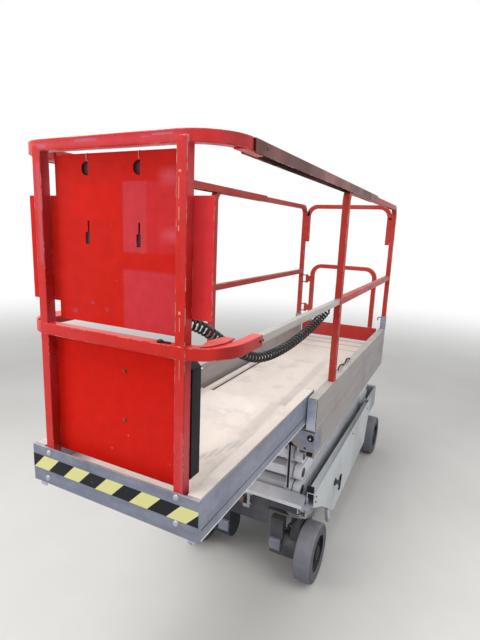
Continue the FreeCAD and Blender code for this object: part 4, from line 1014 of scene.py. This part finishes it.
class LIFT_OT_chassis_fittings(bpy.types.Operator):
    """Adds what shows under the front member: drive plates, rings, hoses, hook and pipe"""

    bl_idname = "lift.chassis_fittings"
    bl_label = "Chassis fittings"

    def execute(self, context):
        for name, side in SIDES:
            self.drive(name, side)
        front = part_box("front_cross_member")[0].y
        hook = Shape()
        hook.prism(((front + 0.001, 0.534), (front + 0.008, 0.534), (front + 0.008, 0.470),
                    (front + 0.030, 0.452), (front + 0.030, 0.440), (front + 0.001, 0.460)),
                   "X", 0.030, 0.044)
        hook.block((0.006, front + 0.001, 0.440), (0.044, front + 0.009, 0.456))
        hook.block((-0.010, front + 0.0005, 0.520), (0.060, front + 0.006, 0.536))
        hook.piece("front_hook", "chassis_paint", "chassis", 0.001)
        lip = Shape()
        lip.block((-0.336, front - 0.0015, 0.530), (0.340, front + 0.0005, 0.551))
        lip.piece("front_lip", "arm_paint", "chassis", 0.0006)
        pipe = Shape()
        for stops, radius in (((-0.200, -0.100, -0.016), 0.017), ((-0.016, -0.008, 0.002), 0.021)):
            pipe.tube([(x, along(1046), 0.458) for x in stops], radius, 24)
        pipe.piece("front_pipe", "rusty_steel", "chassis")
        return {"FINISHED"}

    def drive(self, name, side):
        """One front wheel's drive plate, steering ring and hose."""
        body = "steer_" + name
        axle = along(1205)
        low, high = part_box("knuckle_" + name)
        inner = low.x if side > 0 else high.x
        plate = Shape()
        plate.block((inner + side * 0.003, axle - 0.088, 0.158),
                    (inner + side * 0.068, axle - 0.068, 0.222))
        plate.block((inner + side * 0.001, axle - 0.084, 0.186),
                    (inner + side * 0.072, axle - 0.066, 0.192))
        plate.piece("drive_plate_" + name, "galvanised", body, 0.0012)
        ring = Shape()
        for z in (0.3925, 0.4045):
            ring.lathe((side * 0.270, axle, z), UP,
                       ((0.072, 0), (0.0775, 0), (0.0775, 0.004), (0.072, 0.004)), 48)
        for cosine, sine in turns(8, 0.2):
            ring.bolt((side * 0.270 + 0.060 * cosine, axle + 0.060 * sine, 0.3885), DOWN,
                      0.012, 0.007)
        ring.piece("steering_ring_" + name, "chassis_paint", body)
        route = [(side * (0.175 + 0.010 * step),
                  along(1165) - 0.030 * math.sin(step / 10 * math.pi), 0.250 + 0.012 * step)
                 for step in range(11)]
        # the hose's middle is lifted out of its arc
        route[5] = (side * 0.245, along(1150), 0.300)
        hose = Shape()
        hose.tube(route, 0.007)
        hose.piece("drive_hose_" + name, "black_plastic", body)


class LIFT_OT_tray_fittings(bpy.types.Operator):
    """Adds the T-latches, their recesses and the bolts of the side trays"""

    bl_idname = "lift.tray_fittings"
    bl_label = "Tray fittings"

    def execute(self, context):
        for name, side in SIDES:
            body, outward = "tray_" + name[0], (side, 0, 0)
            low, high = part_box("tray_" + name)
            face = high.x if side > 0 else low.x
            y, z = along(1545), 0.425
            outer = [(y + 0.105 * cosine, z + 0.052 * sine - 0.035 * cosine)
                     for cosine, sine in turns(32)]
            inner = [(y + 0.090 * cosine, z + 0.040 * sine - 0.030 * cosine)
                     for cosine, sine in turns(32)]
            recess = Shape()
            recess.rim(outer, inner, face, side * 0.0025)
            recess.piece("tray_recess_" + name, "cover_paint", body)
            latch = Shape()
            latch.disc((face - side * 0.001, along(1477), 0.462), outward,
                       (0.025, 0), (0.025, 0.005), (0.020, 0.009))
            latch.prism(stations((1477, 0.472), (1606, 0.408), (1606, 0.385), (1477, 0.448)),
                        "X", face + side * 0.001, face + side * 0.009)
            latch.prism(stations((1632, 0.436), (1606, 0.442), (1580, 0.352), (1604, 0.346)),
                        "X", face + side * 0.001, face + side * 0.0095)
            latch.piece("tray_latch_" + name, "black_plastic", body, 0.0015)
            bolts = Shape()
            for y, z in stations((1075, 0.590), (1075, 0.560), (1900, 0.600), (2380, 0.612)):
                bolts.bolt((face - side * 0.0005, y, z), outward, 0.010, 0.0045)
            bolts.piece("tray_bolts_" + name, "dark_steel", body)
            plug = Shape()
            plug.block((face - side * 0.006, low.y + 0.003, high.z - 0.070),
                       (face - side * 0.044, low.y + 0.010, high.z - 0.004))
            plug.piece("tray_plug_" + name, "black_plastic", body, 0.001)
            x_low, x_high = sorted((face - side * 0.004, face - side * 0.022))
            foot = Shape()
            foot.prism(stations((1381, 0.330), (1440, 0.322), (1452, 0.226), (1428, 0.216),
                                (1402, 0.262), (1380, 0.300)), "X", x_low, x_high)
            foot.disc((x_low, along(1434), 0.240), (1, 0, 0), (0.013, -0.006), (0.013, 0.024),
                      segments=20)
            foot.piece("tray_foot_" + name, "worn_frame", body, 0.001)
        return {"FINISHED"}


class LIFT_OT_panel_fittings(bpy.types.Operator):
    """Adds the brackets, bolts and leg sockets of the platform, and dark deck strips that paint
    the shade beside its slide rails
    """

    bl_idname = "lift.panel_fittings"
    bl_label = "Panel fittings"

    def execute(self, context):
        for name, side in SIDES:
            low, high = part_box("side_panel_" + name)
            self.bracket(name, side, low.y)
            cap = Shape()
            cap.block((side * 0.3505, low.y - 0.0012, DECK),
                      (side * 0.394, low.y + 0.0002, high.z - 0.002))
            cap.piece("panel_cap_" + name, "bright_zinc", "platform")
            outer = self.beam(name, side)
            self.bolts(name, side, low.y, outer)
            self.leg_socket(name, side, high.z)
            # painted shade: dark strips at the slide rail's inner foot and along its outer edge,
            # where its side and its gap to the panel lie in shade
            strips = Shape()
            for near, far, bottom, top in ((0.2950, 0.2915, 0.0006, 0.0060),
                                           (0.3275, 0.3245, 0.0235, 0.0255)):
                strips.block((side * near, along(1080), DECK + bottom),
                             (side * far, along(1879), DECK + top))
            strips.piece("slide_rail_shade_strips_" + name, "black_plastic", "extension")
        return {"FINISHED"}

    def bracket(self, name, side, front):
        """The plate round the side panel's front lower corner."""
        plate = Shape()
        plate.prism(mirrored(side, ((0.300, 0.944), (0.338, 0.932), (0.350, 0.893),
                                    (0.399, 0.893), (0.399, 0.985), (0.330, 0.992),
                                    (0.300, 0.985))), "Y", front - 0.006, front + 0.0005)
        plate.prism(((front - 0.001, 0.893), *stations((1074, 0.872), (1074, 0.900),
                                                       (1060, 0.985)), (front - 0.001, 0.985)),
                    "X", side * 0.3945, side * 0.399)
        plate.piece("panel_bracket_" + name, "galvanised", "platform", 0.001)

    def beam(self, name, side):
        """Sand, a pale lip and a dark line of painted shadow along the groove on a side beam;
        gives the beam's outer face.
        """
        low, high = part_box("side_beam_" + name)
        outer = max(high.x, -low.x)
        sand = Shape()
        sand.block((side * (outer - 0.0478), low.y + 0.006, high.z - 0.0002),
                   (side * (outer - 0.004), high.y - 0.010, high.z + 0.0008))
        sand.piece("beam_sand_" + name, "deck_steel", "extension")
        # the dark line is painted shadow in the groove along the beam's side
        for label, finish, start, end in (("beam_lip_", "arm_paint", 0.000, 0.005),
                                          ("beam_shadow_line_", "dark_steel", 0.036, 0.039)):
            line = Shape()
            line.block((side * (outer + 0.0012), low.y + 0.006, low.z + start),
                       (side * (outer - 0.0002), high.y - 0.006, low.z + end))
            line.piece(label + name, finish, "extension")
        return outer

    def bolts(self, name, side, front, outer):
        """The bracket's bolts."""
        bolts = Shape()
        bolts.disc((side * 0.378, front - 0.0055, 0.962), FRONT, (0.017, 0), (0.017, 0.004),
                   (0.0125, 0.006), (0.0125, 0.011))
        bolts.disc((side * (outer + 0.0035), along(1051), 0.934), (side, 0, 0), (0.011, 0),
                   (0.011, 0.003), (0.007, 0.006), segments=20)
        bolts.bolt((side * 0.353, front - 0.0055, 0.905), FRONT, 0.008, 0.004)
        bolts.piece("panel_bolts_" + name, "black_plastic", "platform")
        ends = Shape()
        ends.dome((side * 0.378, front - 0.0163, 0.962), FRONT, 0.0055, 0.002)
        ends.piece("panel_bolt_ends_" + name, "bright_zinc", "platform")

    def leg_socket(self, name, side, top):
        """A square sleeve round a rear leg, with the bent handle of its pin."""
        x, y = side * RAIL_X, along(2866)
        end = top + (0.105 if side > 0 else 0.045)
        socket = Shape()
        for x_low, x_high, y_low, y_high in (
                (-0.0205, -0.0168, -0.0205, 0.0205), (0.0168, 0.0205, -0.0205, 0.0205),
                (-0.017, 0.017, -0.0205, -0.0168), (-0.017, 0.017, 0.0168, 0.0205)):
            socket.block((x + x_low, y + y_low, top - 0.001), (x + x_high, y + y_high, end))
        bend = [math.pi / 2 * step / 6 for step in range(7)]
        handle = [(0.020, 0.013), *[(0.036 + 0.010 * math.sin(turn),
                                     0.023 - 0.010 * math.cos(turn)) for turn in bend],
                  (0.046, 0.041)]
        socket.tube([(x - side * inwards, y, end - below) for inwards, below in handle],
                    0.005, 14)
        socket.piece("leg_socket_" + name, "galvanised", "platform", 0.0012)


class LIFT_OT_toe_brackets(bpy.types.Operator):
    """Adds the small brackets under the ends of the toe plate"""

    bl_idname = "lift.toe_brackets"
    bl_label = "Toe plate brackets"

    def execute(self, context):
        low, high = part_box("toe_plate")
        y, z = low.y, low.z
        brackets = Shape()
        for side, corner in ((-1, low.x), (1, high.x)):
            middle = corner - side * 0.032
            brackets.block((corner - side * 0.004, y + 0.004, z - 0.004),
                           (corner - side * 0.060, y + 0.060, z + 0.0005))
            brackets.block((middle - 0.012, y + 0.010, z - 0.022),
                           (middle + 0.012, y + 0.016, z - 0.003))
            brackets.disc((middle, y + 0.034, z - 0.0035), DOWN, (0.011, 0), (0.011, 0.006),
                          (0.006, 0.008), (0.006, 0.016), segments=20)
        brackets.piece("toe_brackets", "bright_zinc", "extension", 0.0008)
        return {"FINISHED"}


class LIFT_OT_rail_fittings(bpy.types.Operator):
    """Adds plates, clips and bolts of the guard rails"""

    bl_idname = "lift.rail_fittings"
    bl_label = "Rail fittings"

    def execute(self, context):
        gussets, corners, ends, pins = Shape(), Shape(), Shape(), Shape()
        for side in (-1, 1):
            x, outward = side * RAIL_X, (side, 0, 0)
            gussets.prism(((x - 0.0185, along(110)), (x + 0.0185, along(110)),
                           (x + 0.0185, along(230)), (x - 0.0185, along(250))), "Z",
                          2.1325, 2.1372)
            outline = ((0.318, 28), (0.300, 104), (0.316, 176), (0.352, 172), (0.354, 110),
                       (0.338, 50))
            corners.prism(mirrored(side, [(x, along(station)) for x, station in outline]), "Z",
                          1.6055, 1.6105)
            ends.dome((side * 0.3940, along(262), 1.588), outward, 0.006, 0.004)
            ends.dome((side * 0.3940, along(284), 1.588), outward, 0.004, 0.003)
            for y, z in stations((239, 2.154), (1900, 2.150)):
                pins.dome((side * 0.3986, y, z), outward, 0.007, 0.003)
        gussets.piece("rail_joint_plates", "red_paint", "extension", 0.001)
        corners.piece("mid_rail_corners", "red_paint", "extension", 0.001)
        ends.piece("mid_rail_bolts", "black_plastic", "extension")
        hooks = Shape()
        x, z = 0.358, 1.159
        for start, end in ((1466, 1620), (1640, 1760)):
            hooks.tube(((x, along(start), z + 0.002), (x + 0.004, along(start + 14), z + 0.022),
                        (x - 0.004, along((start + end) / 2), z + 0.014),
                        (x, along(end), z + 0.001)), 0.0045)
        hooks.piece("panel_hooks", "black_plastic", "platform")
        clip = Shape()
        clip.disc((0.190, along(22), 1.6065), UP, (0.010, 0), (0.010, 0.004), (0.006, 0.007),
                  segments=20)
        clip.block((0.188, along(18), 1.606), (0.224, along(26), 1.6105))
        clip.piece("cord_clip", "black_plastic", "extension", 0.001)
        pins.piece("rail_pins", "dark_steel", "extension")
        return {"FINISHED"}


class LIFT_OT_stage(bpy.types.Operator):
    """Sets up the camera, the floor and the lights"""

    bl_idname = "lift.stage"
    bl_label = "Stage"

    def execute(self, context):
        settings = context.scene.lift_stage
        self.camera(context, settings)
        self.floor(context, settings)
        self.lights(context)
        context.scene.view_settings.view_transform = "Standard"
        return {"FINISHED"}

    def camera(self, context, settings):
        yaw, pitch, roll = settings.yaw, settings.pitch, settings.roll
        ahead = Vector((-math.sin(yaw) * math.cos(pitch), math.cos(yaw) * math.cos(pitch),
                        -math.sin(pitch)))
        level = Vector((math.cos(yaw), math.sin(yaw), 0))
        upright = level.cross(ahead)
        right = math.cos(roll) * level + math.sin(roll) * upright
        up = -math.sin(roll) * level + math.cos(roll) * upright
        data = bpy.data.cameras.new("view")
        data.sensor_width = 36.0
        data.lens = settings.lens
        camera = bpy.data.objects.new("view", data)
        turn = Matrix((right, up, -ahead)).transposed().to_4x4()
        camera.matrix_world = Matrix.Translation(settings.camera) @ turn
        context.scene.collection.objects.link(camera)
        context.scene.camera = camera

    def floor(self, context, settings):
        mesh = bmesh.new()
        bmesh.ops.create_grid(mesh, x_segments=1, y_segments=1, size=60.0)
        data = bpy.data.meshes.new("floor")
        mesh.to_mesh(data)
        mesh.free()
        floor = bpy.data.objects.new("floor", data)
        context.scene.collection.objects.link(floor)
        finish = Finish("floor")
        pale = settings.floor
        tone = finish.mix(finish.grade(finish.noise(0.8, 5.0, 0.6), 0.35, 0.65), pale,
                          scaled(pale, 0.94))
        finish.set(finish.shader.inputs["Base Color"], tone)
        finish.set(finish.shader.inputs["Roughness"], 0.8)
        # far from the machine the floor fades into the white background
        reach = finish.add("ShaderNodeVectorMath", {0: finish.place}, operation="LENGTH")
        path = finish.add("ShaderNodeLightPath").outputs
        seen = finish.math("MAXIMUM", path["Is Camera Ray"], path["Is Glossy Ray"])
        white = finish.add("ShaderNodeEmission", {"Color": (1, 1, 1), "Strength": 1.0})
        mix = finish.add("ShaderNodeMixShader", {
            0: finish.times(finish.grade(reach.outputs["Value"], 3.5, 11.0), seen),
            1: finish.shader.outputs["BSDF"], 2: white.outputs["Emission"]})
        finish.set(finish.output.inputs["Surface"], mix.outputs[0])
        data.materials.append(finish.material)

    def lights(self, context):
        world = bpy.data.worlds.new("room")
        world.use_nodes = True
        world.node_tree.nodes.clear()
        nodes = Nodes(world.node_tree)
        path = nodes.add("ShaderNodeLightPath").outputs
        seen = nodes.math("MAXIMUM", nodes.math("MAXIMUM", path["Is Camera Ray"],
                                                path["Is Glossy Ray"]),
                          path["Is Transmission Ray"])
        soft = nodes.add("ShaderNodeBackground", {"Color": (0.93, 0.96, 1.0), "Strength": 0.55})
        white = nodes.add("ShaderNodeBackground", {"Color": (1, 1, 1), "Strength": 1.0})
        mix = nodes.add("ShaderNodeMixShader", {0: seen, 1: soft.outputs[0],
                                                2: white.outputs[0]})
        output = nodes.add("ShaderNodeOutputWorld")
        nodes.set(output.inputs["Surface"], mix.outputs[0])
        context.scene.world = world
        for name, place, aim, size, power, shows in (
                ("skylight", (-0.7, -1.6, 5.0), (0, -0.3, 0.8), 3.6, 165.0, True),
                ("doorway", (-3.6, -4.2, 2.6), (0, -0.6, 1.2), 2.5, 85.0, False),
                ("far wall", (3.0, -1.0, 3.0), (0.35, 0.1, 0.6), 2.8, 58.0, False)):
            data = bpy.data.lights.new(name, "AREA")
            data.shape = "DISK"
            data.size = size
            data.energy = power
            lamp = bpy.data.objects.new(name, data)
            lamp.visible_glossy = shows
            heading = Vector(aim) - Vector(place)
            lamp.matrix_world = (Matrix.Translation(place)
                                 @ heading.to_track_quat("-Z", "Y").to_matrix().to_4x4())
            context.scene.collection.objects.link(lamp)


class LIFT_PT_panel(bpy.types.Panel):
    """Lists the machine's groups of pieces"""

    bl_idname = "LIFT_PT_panel"
    bl_label = "Scissor lift"
    bl_space_type = "VIEW_3D"
    bl_region_type = "UI"
    bl_category = "Lift"

    def draw(self, context):
        for operator in STEPS:
            self.layout.operator(operator.bl_idname)
        for name, label in (("lift_paint", "Colours"), ("lift_cord", "Cord"),
                            ("lift_tape", "Tape"), ("lift_wheel", "Wheels"),
                            ("lift_stage", "Stage")):
            settings = getattr(context.scene, name)
            box = self.layout.box()
            box.label(text=label)
            for key in settings.bl_rna.properties.keys():
                if key not in ("rna_type", "name"):
                    box.prop(settings, key)


GROUPS = {
    "lift_paint": PaintColours, "lift_cord": CordSizes, "lift_tape": TapeSizes,
    "lift_wheel": WheelSizes, "lift_stage": StageSettings,
}
STEPS = (LIFT_OT_finishes, LIFT_OT_cord, LIFT_OT_cord_ends, LIFT_OT_tape, LIFT_OT_wheels,
         LIFT_OT_fasteners, LIFT_OT_hooks, LIFT_OT_stack, LIFT_OT_chassis_fittings,
         LIFT_OT_tray_fittings, LIFT_OT_panel_fittings, LIFT_OT_toe_brackets,
         LIFT_OT_rail_fittings, LIFT_OT_stage)


def register():
    for group in GROUPS.values():
        bpy.utils.register_class(group)
    for name, group in GROUPS.items():
        setattr(bpy.types.Scene, name, PointerProperty(type=group))
    for operator in STEPS:
        bpy.utils.register_class(operator)
    bpy.utils.register_class(LIFT_PT_panel)


def unregister():
    bpy.utils.unregister_class(LIFT_PT_panel)
    for operator in reversed(STEPS):
        bpy.utils.unregister_class(operator)
    for name in GROUPS:
        delattr(bpy.types.Scene, name)
    for group in reversed(list(GROUPS.values())):
        bpy.utils.unregister_class(group)


def main():
    register()
    bpy.ops.lift.finishes()
    bpy.ops.lift.cord()
    bpy.ops.lift.cord_ends()
    bpy.ops.lift.tape()
    bpy.ops.lift.wheels()
    bpy.ops.lift.fasteners()
    bpy.ops.lift.hooks()
    bpy.ops.lift.stack()
    bpy.ops.lift.chassis_fittings()
    bpy.ops.lift.tray_fittings()
    bpy.ops.lift.panel_fittings()
    bpy.ops.lift.toe_brackets()
    bpy.ops.lift.rail_fittings()
    bpy.ops.lift.stage()


if __name__ == "__main__":
    main()
